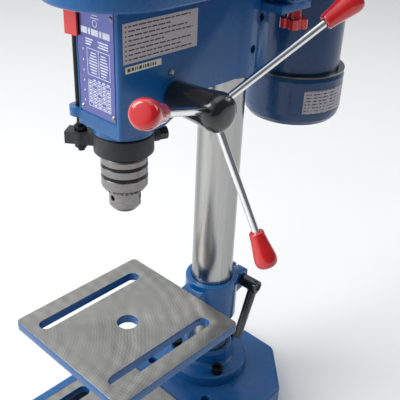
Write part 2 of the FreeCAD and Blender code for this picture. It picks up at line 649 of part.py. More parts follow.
def build_chuck():
    low = s.chuck_bottom
    body = turned("chuck_body", [
        (0, low + 31), (7.45, low + 31), (7.95, low + 49.6), (19, low + 49.6), (19, low + 37), (13.5,
                low + 37),
        (13.5, low + 26.5), (s.nose_radius, low + 26.5), (s.nose_radius, low + 4), (11.5, low), (6.7, low),
        (6.7, low + 16), (0, low + 16)], y=s.spindle_y)
    for angle in (90, 210, 330):
        start, way = jaw_axis(angle)
        hole = body.newObject("PartDesign::SubtractiveCylinder", "jaw_hole")
        hole.setExpression("Radius", formula(s.jaw_radius + s.running_gap))
        hole.Height = 70
        hole.AttachmentSupport = None
        hole.Placement = Placement(start - way * 10 - Vector(0, float(s.spindle_y), 0),
                                   Rotation(Vector(0, 0, 1), way))
        doc.recompute()
    for angle in (30, 150, 270):
        u, v = around(1, angle)
        hole = body.newObject("PartDesign::SubtractiveCylinder", "key_hole")
        hole.Radius = 2.6
        hole.Height = 12
        hole.Placement = Placement(Vector(9.5 * u, 9.5 * v, float(low) + 13),
                                   Rotation(Vector(0, 0, 1), Vector(u, v, 0)))
        doc.recompute()
    sleeve = turned("chuck_sleeve", [
        (s.nose_radius + s.running_gap, low + 20.2), (18.2, low + 20.2), (s.chuck_radius,
                low + 24.5), (s.chuck_radius, low + 33),
        (20.1, low + 33.6), (20.1, low + 36.6), (s.chuck_radius, low + 37.2), (s.chuck_radius, low + 43.6),
        (20.1, low + 44.2), (20.1, low + 46.6), (s.chuck_radius, low + 47.2), (s.chuck_radius, low + 52),
        (20.3, low + 53.5), (12.2, low + 53.5), (12.2, low + 50), (19 + s.running_gap, low + 50),
        (19 + s.running_gap, low + 36), (16.4, low + 35.5), (14.3,
                low + 27.5), (s.nose_radius + s.running_gap, low + 26.8)],
        y=s.spindle_y)
    tooth = new_sketch(sleeve, lift=low + 20.2)
    draw_loop(tooth, [(16.2, -0.75), (23, -1.25), (23, 1.25), (16.2, 0.75)])
    pocket(sleeve, tooth, 3.4, upwards=True)
    repeat = sleeve.newObject("PartDesign::PolarPattern", "sleeve_teeth")
    repeat.Originals = [sleeve.Tip]
    repeat.Axis = (tooth, ["N_Axis"])
    repeat.Angle = 360
    repeat.Occurrences = 26
    sleeve.Tip = repeat
    doc.recompute()
    for number, angle in enumerate((90, 210, 330), 1):
        start, way = jaw_axis(angle)
        bar = Part.makeCylinder(float(s.jaw_radius), float(s.jaw_length), start, way)
        centre = Vector(0, float(s.spindle_y), 0)
        corner = Vector(*around(0.35, angle), 0) + centre
        reach = [corner] + [corner + Vector(*around(30, angle + turn), 0) for turn in (-59, 0, 59)]
        wedge = Part.Face(Part.makePolygon([point + Vector(0, 0, 290) for point in reach + [corner]]))
        jaw = bar.common(wedge.extrude(Vector(0, 0, 60)))
        jaw = jaw.cut(Part.makeBox(60, 60, 20,
                                   Vector(-30, float(s.spindle_y) - 30, float(s.chuck_bottom) - 19.4)))
        piece = keep("chuck_jaw_%d" % number, doc.addObject("Part::Feature", "jaw%d" % number))
        piece.Shape = jaw
        piece.Placement = Placement()


def build_depth_stop():
    low = s.collar_bottom
    u, v = around(1, 70)                  # the clamp screw points to the back right
    middle = low + 9
    screw_turn = Rotation(Vector(0, 0, 1), Vector(u, v, 0))
    ring = cylinder("collar_ring", s.collar_radius, s.collar_top - low - 1.5, 0, s.spindle_y, low)
    top = cone("collar_top", s.collar_radius, s.collar_radius - 2.5, 1.5, 0, s.spindle_y, s.collar_top - 1.5)
    eye = cylinder("collar_eye", 8.5, 11, s.rod_x, s.rod_y, low + 3)
    way = math.degrees(math.atan2(s.rod_y - s.spindle_y, s.rod_x))
    arm = block("collar_arm", 0, 0, 0, 36, 15, 11)
    p, q = around(1, way)
    arm.Placement = Placement(Vector(15 * p + 7.5 * q, float(s.spindle_y) + 15 * q - 7.5 * p, float(low) + 3),
                              Rotation(Vector(0, 0, 1), way))
    lug = cylinder("collar_lug", 6.5, 10, 22 * u, s.spindle_y + 22 * v, middle, screw_turn)
    bore = cylinder("collar_bore", s.quill_radius, 40, 0, s.spindle_y, low - 10)
    eye_hole = cylinder("collar_eye_hole", s.rod_radius, 30, s.rod_x, s.rod_y, low - 5)
    screw_hole = cylinder("collar_screw_hole", 2.5, 20, 20 * u, s.spindle_y + 20 * v, middle, screw_turn)
    keep("depth_collar", cut("depth_collar", joined("collar_whole", [ring, top, eye, arm, lug]),
                             [bore, eye_hole, screw_hole]))
    stem = cylinder("collar_screw_stem", 2.45, 16, 20.3 * u, s.spindle_y + 20.3 * v, middle, screw_turn)
    grip = prism("collar_screw_grip", 10, 6, 8, 32.3 * u, s.spindle_y + 32.3 * v, middle, screw_turn)
    keep("collar_screw", joined("collar_screw", [stem, grip]))
    keep("depth_rod", cylinder("depth_rod", s.rod_radius, s.rod_top - s.rod_bottom, s.rod_x, s.rod_y,
                               s.rod_bottom))
    nuts = []
    for number, z in enumerate((low - 2, low + 14)):
        nut = prism("rod_nut%d" % number, 6, 5.8, 5, s.rod_x, s.rod_y, z)
        hole = cylinder("rod_nut_hole%d" % number, s.rod_radius, 9, s.rod_x, s.rod_y, z - 2)
        nuts.append(cut("rod_nut_cut%d" % number, nut, [hole]))
    keep("depth_nuts", group("depth_nuts", nuts))
    pointer = new_body("depth_pointer")
    shape = new_sketch(pointer, lift=457)
    tip_face = s.head_front - 0.7
    draw_loop(shape, [(s.rod_x - 6.5, s.rod_y + 6), (s.rod_x - 6.5, tip_face),
                      (s.rod_x - 1.5, tip_face - 3.5),
                      (s.rod_x + 11.5, tip_face - 1.5), (s.rod_x + 11.5, tip_face), (s.rod_x + 5, tip_face),
                      (s.rod_x + 5, s.rod_y + 6)])
    pad(pointer, shape, 20)
    rod_hole = new_sketch(pointer, lift=457)
    draw_circle(rod_hole, s.rod_x, s.rod_y, s.rod_radius)
    pocket(pointer, rod_hole, 20, upwards=True)


# ---- feed ----------------------------------------------------------------------------

def build_feed():
    """The pinion shaft lies along X, with a tooth centred on -Y, in mesh with the rack."""
    module, teeth = float(s.gear_module), int(s.pinion_teeth)
    pitch = module * teeth / 2
    points = []
    for number in range(teeth):
        middle = 360.0 * number / teeth
        for radius, turn in ((pitch - module * 1.25, -0.30), (pitch + module * 0.95, -0.10),
                             (pitch + module * 0.95, 0.10), (pitch - module * 1.25, 0.30)):
            u, v = around(radius, middle + turn * 360.0 / teeth)
            points.append(Vector(-11, -u, v))
    gear = Part.Face(Part.makePolygon(points + points[:1])).extrude(Vector(22, 0, 0))
    alongShaft = Vector(1, 0, 0)
    bar = Part.makeCylinder(float(s.feed_shaft_radius), 126, Vector(-42, 0, 0), alongShaft)
    stub = Part.makeCylinder(5, 12, Vector(-53, 0, 0), alongShaft)
    piece = keep("feed_shaft", doc.addObject("Part::Feature", "feed_shaft"))
    piece.Shape = gear.fuse([bar, stub]).removeSplitter()
    piece.Placement = Placement(Vector(0, float(s.feed_y), float(s.feed_height)), Rotation())
    hub = turned("feed_hub", [
        (s.feed_shaft_radius, 31.3), (13.4, 31.3), (14, 32.5), (14.4, 48), (15.4, 64), (16.8, 77), (16.4, 82),
        (14.4, 86), (11, 88.4), (6, 89.6), (0, 90), (0, 84.2), (s.feed_shaft_radius, 84.2)],
        y=s.feed_y, z=s.feed_height, turn=alongX)
    for number in range(3):
        way = spoke_way(number)
        hole = hub.newObject("PartDesign::SubtractiveCylinder", "spoke_hole")
        hole.setExpression("Radius", formula(s.spoke_radius))
        hole.Height = 20
        local = alongX.inverted().multVec(way)
        hole.Placement = Placement(Vector(0, 0, float(s.spoke_x)) + local * 10.5,
                                   Rotation(Vector(0, 0, 1), local))
        doc.recompute()
        start = Vector(float(s.spoke_x), float(s.feed_y), float(s.feed_height))
        turn = Rotation(Vector(0, 0, 1), way)
        foot = start + way * 10.5
        spoke = cylinder("spoke%d" % number, s.spoke_radius, s.knob_reach + 16 - 10.5, foot.x, foot.y,
                         foot.z, turn)
        keep("feed_spoke_%d" % (number + 1), spoke)
        foot = start + way * float(s.knob_reach)
        turned("feed_knob_%d" % (number + 1), [
            (s.spoke_radius, 0), (6, 0), (6.6, 0.8), (7.6, 9), (9.4, 20), (10.2, 26), (10, 30), (8.4, 33),
            (5, s.knob_length), (0, s.knob_length), (0, 16), (s.spoke_radius,
                    16)], foot.x, foot.y, foot.z, turn)


def spoke_way(number):
    lean = math.radians(s.spoke_tilt)
    phase = math.radians(s.spoke_phase + number * 120)
    return Vector(math.sin(lean), -math.cos(lean) * math.cos(phase), math.cos(lean) * math.sin(phase))


def build_return_spring():
    face = -s.head_half_width
    turned("spring_housing", [
        (s.feed_shaft_radius + 1, 0), (25, 0), (25, 15), (24, 16.5), (6.5, 16.5), (6.5, 14.5), (23,
                14.5), (23, 2),
        (s.feed_shaft_radius + 1, 2)], x=face, y=s.feed_y, z=s.feed_height, turn=Rotation(Vector(0, 1, 0),
                -90))
    strip, turns, radius = 0.7, 10, 21.8
    pieces = []
    for half in range(turns * 2):
        step = 1.25
        centre = 0 if half % 2 == 0 else step / 2
        outer = radius - half * step / 2
        ring = Part.makeCylinder(outer, 9).cut(Part.makeCylinder(outer - strip, 9))
        side = Part.makeBox(60, 30, 9, Vector(-30, 0 if half % 2 == 0 else -30, 0))
        piece = ring.common(side)
        piece.translate(Vector(centre * (1 if half % 2 else 0), 0, 0))
        pieces.append(piece)
    coil = pieces[0].fuse(pieces[1:]).removeSplitter()
    spring = keep("return_spring", doc.addObject("Part::Feature", "return_spring"))
    spring.Shape = coil
    spring.Placement = Placement(Vector(-float(s.head_half_width) - 4, float(s.feed_y), float(s.feed_height)),
                                 Rotation(Vector(0, 1, 0), -90))


# ---- belt drive ----------------------------------------------------------------------

def step_radius(number, growing):
    return s.middle_radius + (number - 2) * s.step_change * (1 if growing else -1)


def pulley(label, y, bore, growing):
    """A five-step V pulley turned from one profile."""
    outline = [(bore, s.pulley_bottom)]
    for number in range(5):
        radius = step_radius(number, growing)
        low = s.pulley_bottom + s.step_height * number
        rim = radius + 1.5
        root = radius - s.belt_depth
        outline += [(rim, low), (rim, low + 0.9), (root, low + 3.3), (root, low + 9.2), (rim, low + 11.6)]
    top = s.pulley_bottom + s.step_height * 5
    outline += [(step_radius(4, growing) + 1.5, top), (bore, top)]
    return turned(label, outline, y=y)


def build_belt():
    """The V-belt on the middle steps, two half turns and two straight runs."""
    level = float(s.pulley_bottom + s.step_height * 2.5)
    radius = float(s.middle_radius)
    inner, outer = radius - float(s.belt_depth) + 0.4, radius + 1.2
    half_in, half_out = 2.6, float(s.belt_width) / 2 - 0.15
    section = [(inner, -half_in), (outer, -half_out), (outer, half_out), (inner, half_in)]
    points = [Vector(u, 0, level + v) for u, v in section]
    pieces = []
    for y, turn in ((float(s.spindle_y), -180), (float(s.motor_y), 180)):
        face = Part.Face(Part.makePolygon([point + Vector(0, y, 0) for point in points + points[:1]]))
        pieces.append(face.revolve(Vector(0, y, 0), Vector(0, 0, 1), turn))
    reach = float(s.motor_y - s.spindle_y)
    for side in (-1, 1):
        run = [Vector(side * point.x, float(s.spindle_y), point.z) for point in points]
        pieces.append(Part.Face(Part.makePolygon(run + run[:1])).extrude(Vector(0, reach, 0)))
    belt = keep("v_belt", doc.addObject("Part::Feature", "v_belt"))
    belt.Shape = pieces[0].fuse(pieces[1:]).removeSplitter()


def build_drive():
    low = s.head_top - 24
    turned("drive_sleeve", [
        (s.spline_radius + 0.1, low + 0.2), (s.sleeve_radius + 2, low + 0.2), (s.sleeve_radius, low + 0.4),
        (s.sleeve_radius, s.pulley_bottom + 62.5), (s.sleeve_radius - 1, s.pulley_bottom + 64),
        (s.spline_radius + 0.1, s.pulley_bottom + 64)], y=s.spindle_y)
    gap = s.running_gap
    keep("pulley_bearings", group("pulley_bearings",
                                  bearing("drive_low", s.sleeve_radius + gap, 21, 11, low + 0.8)
                                  + bearing("drive_top", s.sleeve_radius + gap, 21, 11, low + 12.4)))
    pulley("spindle_pulley", s.spindle_y, s.sleeve_radius, False)
    pulley("motor_pulley", s.motor_y, s.motor_shaft_radius, True)
    build_belt()


# ---- belt cover ----------------------------------------------------------------------

def stadium(body, lift, radius):
    sketch = new_sketch(body, lift=lift)
    draw_slot(sketch, 0, s.cover_front, s.motor_y, radius)
    return sketch


def build_cover():
    tray = new_body("cover_tray")
    pad(tray, stadium(tray, s.head_top, s.cover_radius), s.cover_split - s.head_top)
    rounded(tray, flat_at(s.head_top), 3)
    pocket(tray, stadium(tray, s.head_top + s.sheet_thickness, s.cover_radius - s.sheet_thickness), 60,
           upwards=True)
    holes = new_sketch(tray, lift=s.head_top)
    draw_circle(holes, 0, s.spindle_y, 24)
    draw_slot(holes, 0, s.motor_y - s.tension_travel, s.motor_y, 18)
    pocket(tray, holes, 5, upwards=True)
    shells = []
    for name, inset, bend in (("lid_outside", 0, 10), ("lid_inside", s.lid_thickness, 7.5)):
        shell = plain_body(name)
        low = s.cover_split + s.loose_gap - (0 if inset == 0 else 5)
        pad(shell, stadium(shell, low, s.cover_radius - inset), s.cover_top - inset - low)
        rounded(shell, flat_at(s.cover_top - inset), bend)
        shells.append(shell)
    eyes, pin_holes = [], []
    for number, y in enumerate((-97.7, 72.3)):
        eyes.append(cylinder("lid_eye%d" % number, 3, 15.4, s.hinge_x, y, s.cover_split, alongY))
        eyes.append(block("lid_strap%d" % number, s.hinge_x - 3, y, s.cover_split + s.loose_gap,
                          5.5 - s.cover_radius - s.hinge_x, 15.4, 14))
        pin_holes.append(cylinder("lid_pin_hole%d" % number, 1.5 + s.running_gap, 20, s.hinge_x, y - 2,
                                  s.cover_split, alongY))
    shell = cut("lid_shell", shells[0], [shells[1]])
    keep("cover_lid", cut("cover_lid", joined("lid_whole", [shell] + eyes), pin_holes))
    ring = [cylinder("hinge_pin%d" % number, 1.5, 44, s.hinge_x, y, s.cover_split, alongY)
            for number, y in enumerate((-112, 58))]
    knuckles = []
    for number, y in enumerate((-112, 58)):
        barrel = cylinder("hinge_barrel%d" % number, 3, 14, s.hinge_x, y, s.cover_split, alongY)
        leaf = block("hinge_leaf%d" % number, s.hinge_x - 1, y, s.cover_split - 14,
                     1 - s.cover_radius - s.hinge_x, 14, 13)
        other = cylinder("hinge_other%d" % number, 3, 14, s.hinge_x, y + 30, s.cover_split, alongY)
        other_leaf = block("hinge_other_leaf%d" % number, s.hinge_x - 1, y + 30, s.cover_split - 14,
                           1 - s.cover_radius - s.hinge_x, 14, 13)
        knuckles.append(joined("hinge%d" % number, [barrel, leaf, other, other_leaf, ring[number]]))
    keep("cover_hinges", group("cover_hinges", knuckles))
    keep("cover_knob", joined("cover_knob", [
        cylinder("cover_knob_stem", 3, 9, s.cover_radius, -10, s.cover_split + 20, alongX),
        cone("cover_knob_grip", 7, 8.5, 9, s.cover_radius + 7, -10, s.cover_split + 20, alongX)]))


# ---- motor and its mount -------------------------------------------------------------

def build_motor():
    plate = new_body("motor_plate")
    level = s.wing_top + 0.2
    outline = new_sketch(plate, lift=level)
    draw_loop(outline, [(-s.wing_half_width, 27), (s.wing_half_width, 27),
                        (s.wing_half_width, s.motor_y + 20),
                        (30, s.motor_y + 50), (-30, s.motor_y + 50), (-s.wing_half_width, s.motor_y + 20)])
    pad(plate, outline, 4)
    rounded(plate, upright, 6)
    holes = new_sketch(plate, lift=level + 4)
    draw_circle(holes, 0, s.motor_y, 16)
    draw_loop(holes, [(-30, 26), (30, 26), (30, 62), (-30, 62)])
    for side in (-1, 1):
        draw_circle(holes, side * s.tension_x, s.tension_y, 3)
    pocket(plate, holes, 5)
    top, lip, wall, radius = level, s.motor_lip, s.motor_wall, s.motor_radius
    turned("motor_upper_can", [
        (16, top - 8), (16, top), (radius - 4, top), (radius - 1.2, top - 1.2), (radius,
                top - 4), (radius, lip - 3),
        (radius - wall, lip - 3), (radius - wall, top - 4.5), (radius - 4.5, top - 3), (19, top - 3), (19,
                top - 8)],
        y=s.motor_y)
    low, big = s.motor_bottom, s.motor_end_radius
    turned("motor_end_can", [
        (0, low), (big - 13, low), (big - 5, low + 2.4), (big - 1.4, low + 7.4), (big, low + 14), (big,
                lip - 5),
        (big - 1, lip - 1), (big - 3, lip), (radius + 0.1, lip), (radius + 0.1, lip - 4), (big - wall,
                lip - 4),
        (big - wall, low + 14), (big - 8, low + 5.4), (big - 14, low + 3), (13, low + 3), (13,
                low + 12), (10, low + 12),
        (10, low + 3), (0, low + 3)], y=s.motor_y)
    turned("stator", [
        (28.4, lip + 14), (30, lip + 14), (30, lip + 4), (40, lip + 4), (40, lip + 14), (radius - wall,
                lip + 14),
        (radius - wall, top - 26), (40, top - 26), (40, top - 16), (30, top - 16), (30, top - 26), (28.4,
                top - 26)],
        y=s.motor_y)
    shaft = s.motor_shaft_radius
    turned("rotor", [
        (0, low + 5), (shaft - 1, low + 5), (shaft - 1, lip - 24), (44, lip - 24), (44,
                lip - 21), (shaft + 4, lip - 19),
        (shaft + 4, lip + 12), (28, lip + 14), (28, top - 26), (shaft + 4, top - 24), (shaft + 4,
                top - 12), (shaft, top - 12),
        (shaft, s.pulley_bottom + 63), (shaft - 1, s.pulley_bottom + 64), (0,
                s.pulley_bottom + 64)], y=s.motor_y)
    bushes = []
    for number, (z, inner, outer, height) in enumerate(((low + 4, shaft - 1, 10, 8),
                                                        (top - 8, shaft, 16, 8))):
        ring = cylinder("motor_bearing%d" % number, outer, height, 0, s.motor_y, z)
        hole = cylinder("motor_bearing_hole%d" % number, inner + s.running_gap, height + 2, 0, s.motor_y,
                        z - 1)
        bushes.append(cut("motor_bearing_cut%d" % number, ring, [hole]))
    keep("motor_bearings", group("motor_bearings", bushes))
    label = turned("motor_label", [(big, low + 17), (big + 0.3, low + 17), (big + 0.3, lip - 13),
                                   (big, lip - 13)], y=s.motor_y)
    label.Tip.Angle = 62
    label.Placement = Placement(label.Placement.Base, Rotation(Vector(0, 0, 1), -42))
    doc.recompute()


def build_tension():
    stud_top = s.wing_top + 4.2
    star_z = 441.5
    under = s.wing_top - s.wing_thickness - s.loose_gap - 5      # the left stud's nut, under the wing
    studs = []
    for number, (side, low) in enumerate(((1, star_z + 4), (-1, under - 3))):
        x = side * s.tension_x
        bar = cylinder("tension_bar%d" % number, 3, stud_top - low, x, s.tension_y, low)
        head = prism("tension_head%d" % number, 6, 6, 4, x, s.tension_y, stud_top)
        pieces = [bar, head] + ([] if side > 0 else [prism("tension_nut", 6, 6, 5, x, s.tension_y, under)])
        studs.append(joined("tension_stud%d" % number, pieces))
    keep("tension_studs", group("tension_studs", studs))
    x, y = s.tension_x, s.tension_y
    pieces = [cylinder("star_disc", 10, 9, x, y, star_z), cone("star_neck", 7, 6, 10, x, y, star_z + 9)]
    for lobe in range(5):
        u, v = around(9, 18 + lobe * 72)
        pieces.append(cylinder("star_lobe%d" % lobe, 4.5, 9, x + u, y + v, star_z))
    hole = cylinder("star_hole", 3 + s.running_gap, 30, x, y, star_z + 3.8)
    keep("tension_knob", cut("tension_knob", joined("star_whole", pieces), [hole]))


# ---- switch --------------------------------------------------------------------------

def build_switch():
    face = -s.head_half_width
    box = new_body("switch_box")
    outline = new_sketch(box, "YZ_Plane", lift=face - 34)
    draw_loop(outline, [(-67, 412), (-19, 412), (-19, 478), (-67, 478)])
    pad(box, outline, 34)
    rounded(box, lambda edge, bounds: bounds.XLength > 30, 5)
    inside = new_sketch(box, "YZ_Plane", lift=face - 31)
    draw_loop(inside, [(-63, 416), (-23, 416), (-23, 474), (-63, 474)])
    pocket(box, inside, 31, upwards=True)
    holes = new_sketch(box, "YZ_Plane", lift=face - 34)
    for z in (430, 460):
        draw_circle(holes, -43, z, 9.3)
    pocket(box, holes, 4, upwards=True)
    for name, z, proud in (("start_button", 460, 3), ("stop_button", 430, 5)):
        turned(name, [(0, 0), (8, 0), (9, 1), (9, 9), (10.6, 9), (10.6, 11), (0, 11)],
               x=face - 34 - proud, y=-43, z=z,
               turn=alongX)
    keep("cable_gland", cut("cable_gland", joined("gland_whole", [
        cylinder("gland_nut", 7, 6, face - 17, -43, 406), cone("gland_cap", 5, 7, 5, face - 17, -43, 401)]),
        [cylinder("gland_bore", 3.5, 20, face - 17, -43, 398)]))


for build in (build_base, build_column, build_bracket, build_clamp, build_table, build_head, build_head_trim,
              build_quill, build_spindle, build_chuck, build_depth_stop, build_feed, build_return_spring,
              build_drive, build_cover, build_motor, build_tension, build_switch):
    build()
doc.recompute()

broken = [item.Name for item in doc.Objects if "Invalid" in item.State or "Error" in item.State]
if broken:
    raise RuntimeError("objects that failed: " + ", ".join(broken))
for piece in subParts:
    if piece.Shape.isNull() or not piece.Shape.isValid():
        raise RuntimeError("a bad shape: " + piece.Label)

os.makedirs("parts", exist_ok=True)
for piece in subParts:
    piece.Shape.exportStep(os.path.join("parts", piece.Label + ".step"))
print(len(subParts), "sub-parts written")
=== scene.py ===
import json
import math

import bpy
from mathutils import Matrix, Vector


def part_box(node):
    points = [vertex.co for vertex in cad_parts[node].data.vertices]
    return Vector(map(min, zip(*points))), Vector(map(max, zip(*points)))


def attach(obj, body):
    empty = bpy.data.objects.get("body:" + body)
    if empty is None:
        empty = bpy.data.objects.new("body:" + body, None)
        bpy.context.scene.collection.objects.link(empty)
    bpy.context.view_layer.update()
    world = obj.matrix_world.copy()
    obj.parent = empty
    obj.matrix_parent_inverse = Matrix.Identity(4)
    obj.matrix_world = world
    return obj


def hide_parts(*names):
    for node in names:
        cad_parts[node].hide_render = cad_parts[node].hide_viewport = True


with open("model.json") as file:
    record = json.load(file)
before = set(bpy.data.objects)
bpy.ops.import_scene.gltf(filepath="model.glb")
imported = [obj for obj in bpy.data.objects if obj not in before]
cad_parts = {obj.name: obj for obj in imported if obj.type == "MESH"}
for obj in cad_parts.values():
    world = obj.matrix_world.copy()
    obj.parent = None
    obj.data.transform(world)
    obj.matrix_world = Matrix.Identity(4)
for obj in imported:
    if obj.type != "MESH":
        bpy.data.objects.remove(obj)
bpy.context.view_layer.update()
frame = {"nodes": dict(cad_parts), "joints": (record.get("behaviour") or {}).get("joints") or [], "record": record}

nodes = frame["nodes"]
mm = 0.001


# small helpers for places read from the frame

def low(node):
    return Vector(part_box(node)[0])


def high(node):
    return Vector(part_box(node)[1])


def joint(name):
    return next(j for j in frame["joints"] if j["name"] == name)


spindleAxis = Vector(joint("spindle_spin")["pos_m"])
motorAxis = Vector(joint("motor_spin")["pos_m"])
feedAxis = Vector(joint("feed_turn")["pos_m"])
bodyOf = {node: body for body, members in frame["record"]["behaviour"]["bodies"].items()
          for node in members}
slotOf = {part["node"]: part["material_slot"] for part in frame["record"]["subparts"]}


# node groups for what several finishes share

def newGroup(name, inputs, outputs):
    group = bpy.data.node_groups.new(name, "ShaderNodeTree")
    for label, kind, value in inputs:
        socket = group.interface.new_socket(name=label, in_out="INPUT", socket_type=kind)
        socket.default_value = value
    for label, kind in outputs:
        group.interface.new_socket(name=label, in_out="OUTPUT", socket_type=kind)
    ins = group.nodes.new("NodeGroupInput")
    outs = group.nodes.new("NodeGroupOutput")
    return group, ins, outs


def addNode(tree, kind, **settings):
    node = tree.nodes.new(kind)
    for key, value in settings.items():
        if key in node.inputs:
            node.inputs[key].default_value = value
        else:
            setattr(node, key, value)
    return node


def maths(tree, operation, first, second=None, clamp=False):
    node = tree.nodes.new("ShaderNodeMath")
    node.operation = operation
    node.use_clamp = clamp
    for place, value in ((0, first), (1, second)):
        if value is None:
            continue
        if isinstance(value, (int, float)):
            node.inputs[place].default_value = value
        else:
            tree.links.new(value, node.inputs[place])
    return node.outputs[0]


def noiseOn(tree, coordinates, scale, detail=4.0, roughness=0.55):
    node = addNode(tree, "ShaderNodeTexNoise", Scale=1.0, Detail=detail, Roughness=roughness)
    tree.links.new(coordinates, node.inputs["Vector"])
    if isinstance(scale, (int, float)):
        node.inputs["Scale"].default_value = scale
    else:
        tree.links.new(scale, node.inputs["Scale"])
    return node.outputs["Fac"]


def stretch(tree, coordinates, scale, turn=(0, 0, 0), move=(0, 0, 0)):
    node = addNode(tree, "ShaderNodeMapping", Scale=scale, Rotation=turn, Location=move)
    tree.links.new(coordinates, node.inputs["Vector"])
    return node.outputs["Vector"]


def ramp(tree, value, fromLow, fromHigh, toLow=0.0, toHigh=1.0):
    node = addNode(tree, "ShaderNodeMapRange")
    node.inputs["From Min"].default_value = fromLow
    node.inputs["From Max"].default_value = fromHigh
    node.inputs["To Min"].default_value = toLow
    node.inputs["To Max"].default_value = toHigh
    tree.links.new(value, node.inputs["Value"])
    return node.outputs["Result"]


def mixColour(tree, amount, first, second):
    node = tree.nodes.new("ShaderNodeMix")
    node.data_type = "RGBA"
    for place, value in (("Factor", amount), ("A", first), ("B", second)):
        socket = next(s for s in node.inputs if s.name == place and s.enabled)
        if isinstance(value, (int, float, tuple)):
            socket.default_value = value if place == "Factor" else tuple(value)[:3] + (1,)
        else:
            tree.links.new(value, socket)
    return next(s for s in node.outputs if s.enabled)


def bumpFrom(tree, height, distance, strength=1.0):
    node = addNode(tree, "ShaderNodeBump", Strength=strength, Distance=distance)
    tree.links.new(height, node.inputs["Height"])
    return node.outputs["Normal"]


def buildPaintSkin():
    group, ins, outs = newGroup("paintSkin", [
        ("Vector", "NodeSocketVector", (0, 0, 0)), ("Grain", "NodeSocketFloat", 240.0),
        ("Waviness", "NodeSocketFloat", 1.0)],
        [("Normal", "NodeSocketVector"), ("Patch", "NodeSocketFloat"), ("Fleck", "NodeSocketFloat")])
    where = ins.outputs["Vector"]
    fine = noiseOn(group, where, ins.outputs["Grain"], 3.0)
    broad = noiseOn(group, where, 38.0, 2.0)
    height = maths(group, "ADD", maths(group, "MULTIPLY", fine, 0.35),
                   maths(group, "MULTIPLY", broad, ins.outputs["Waviness"]))
    group.links.new(bumpFrom(group, height, 0.0004), outs.inputs["Normal"])
    group.links.new(ramp(group, noiseOn(group, where, 11.0, 5.0), 0.35, 0.7), outs.inputs["Patch"])
    group.links.new(ramp(group, noiseOn(group, where, 620.0, 2.0), 0.62, 0.74), outs.inputs["Fleck"])
    return group


def buildDust():
    group, ins, outs = newGroup("settledDust", [
        ("Vector", "NodeSocketVector", (0, 0, 0)), ("Amount", "NodeSocketFloat", 0.3)],
        [("Mask", "NodeSocketFloat")])
    up = group.nodes.new("ShaderNodeSeparateXYZ")
    group.links.new(group.nodes.new("ShaderNodeNewGeometry").outputs["Normal"], up.inputs[0])
    level = ramp(group, up.outputs["Z"], 0.45, 1.0)
    patches = ramp(group, noiseOn(group, ins.outputs["Vector"], 34.0, 6.0), 0.42, 0.72)
    mask = maths(group, "MULTIPLY", maths(group, "MULTIPLY", level, patches), ins.outputs["Amount"], True)
    group.links.new(mask, outs.inputs["Mask"])
    return group


def buildWear():
    group, ins, outs = newGroup("edgeWear", [
        ("Vector", "NodeSocketVector", (0, 0, 0)), ("Reach", "NodeSocketFloat", 0.53)],
        [("Mask", "NodeSocketFloat")])
    sharp = group.nodes.new("ShaderNodeNewGeometry").outputs["Pointiness"]
    above = maths(group, "MULTIPLY", maths(group, "SUBTRACT", sharp, ins.outputs["Reach"]), 14.0, True)
    broken = ramp(group, noiseOn(group, ins.outputs["Vector"], 130.0, 5.0, 0.7), 0.52, 0.66)
    group.links.new(maths(group, "MULTIPLY", above, broken, True), outs.inputs["Mask"])
    return group


def buildToolLines():
    group, ins, outs = newGroup("toolLines", [
        ("Vector", "NodeSocketVector", (0, 0, 0)), ("Spacing", "NodeSocketFloat", 400.0),
        ("Depth", "NodeSocketFloat", 0.5)],
        [("Normal", "NodeSocketVector"), ("Line", "NodeSocketFloat")])
    lines = addNode(group, "ShaderNodeTexNoise", Detail=3.0, Roughness=0.6)
    group.links.new(ins.outputs["Vector"], lines.inputs["Vector"])
    group.links.new(ins.outputs["Spacing"], lines.inputs["Scale"])
    scaled = maths(group, "MULTIPLY", lines.outputs["Fac"], ins.outputs["Depth"])
    group.links.new(bumpFrom(group, scaled, 0.00025), outs.inputs["Normal"])
    group.links.new(ramp(group, lines.outputs["Fac"], 0.35, 0.65), outs.inputs["Line"])
    return group


paintSkin = buildPaintSkin()
settledDust = buildDust()
edgeWear = buildWear()
toolLines = buildToolLines()


def newFinish(name):
    material = bpy.data.materials.new(name)
    material.use_nodes = True
    tree = material.node_tree
    shader = tree.nodes["Principled BSDF"]
    where = tree.nodes.new("ShaderNodeTexCoord").outputs["Object"]
    return material, tree, shader, where


def placeGroup(tree, group, where, **values):
    node = tree.nodes.new("ShaderNodeGroup")
    node.node_tree = group
    tree.links.new(where, node.inputs["Vector"])
    for key, value in values.items():
        node.inputs[key].default_value = value
    return node


def paintedFinish(name, colour, shade, roughness=0.22, grain=240.0, waviness=1.0, worn=0.3, coat=0.6):
    bare = (0.30, 0.30, 0.31)  # iron showing at a rubbed edge
    material, tree, shader, where = newFinish(name)
    skin = placeGroup(tree, paintSkin, where, Grain=grain, Waviness=waviness)
    dust = placeGroup(tree, settledDust, where, Amount=0.05)
    wear = placeGroup(tree, edgeWear, where, Reach=0.58)
    base = mixColour(tree, skin.outputs["Patch"], colour, shade)
    base = mixColour(tree, maths(tree, "MULTIPLY", wear.outputs["Mask"], worn), base, bare)
    base = mixColour(tree, dust.outputs["Mask"], base, (0.45, 0.47, 0.50))
    tree.links.new(base, shader.inputs["Base Color"])
    rough = maths(tree, "ADD", ramp(tree, skin.outputs["Patch"], 0, 1, roughness, roughness + 0.10),
                  maths(tree, "MULTIPLY", dust.outputs["Mask"], 0.5))
    tree.links.new(rough, shader.inputs["Roughness"])
    tree.links.new(skin.outputs["Normal"], shader.inputs["Normal"])
    shader.inputs["Specular IOR Level"].default_value = 0.35
    shader.inputs["Coat Weight"].default_value = coat
    shader.inputs["Coat Roughness"].default_value = 0.08
    return material


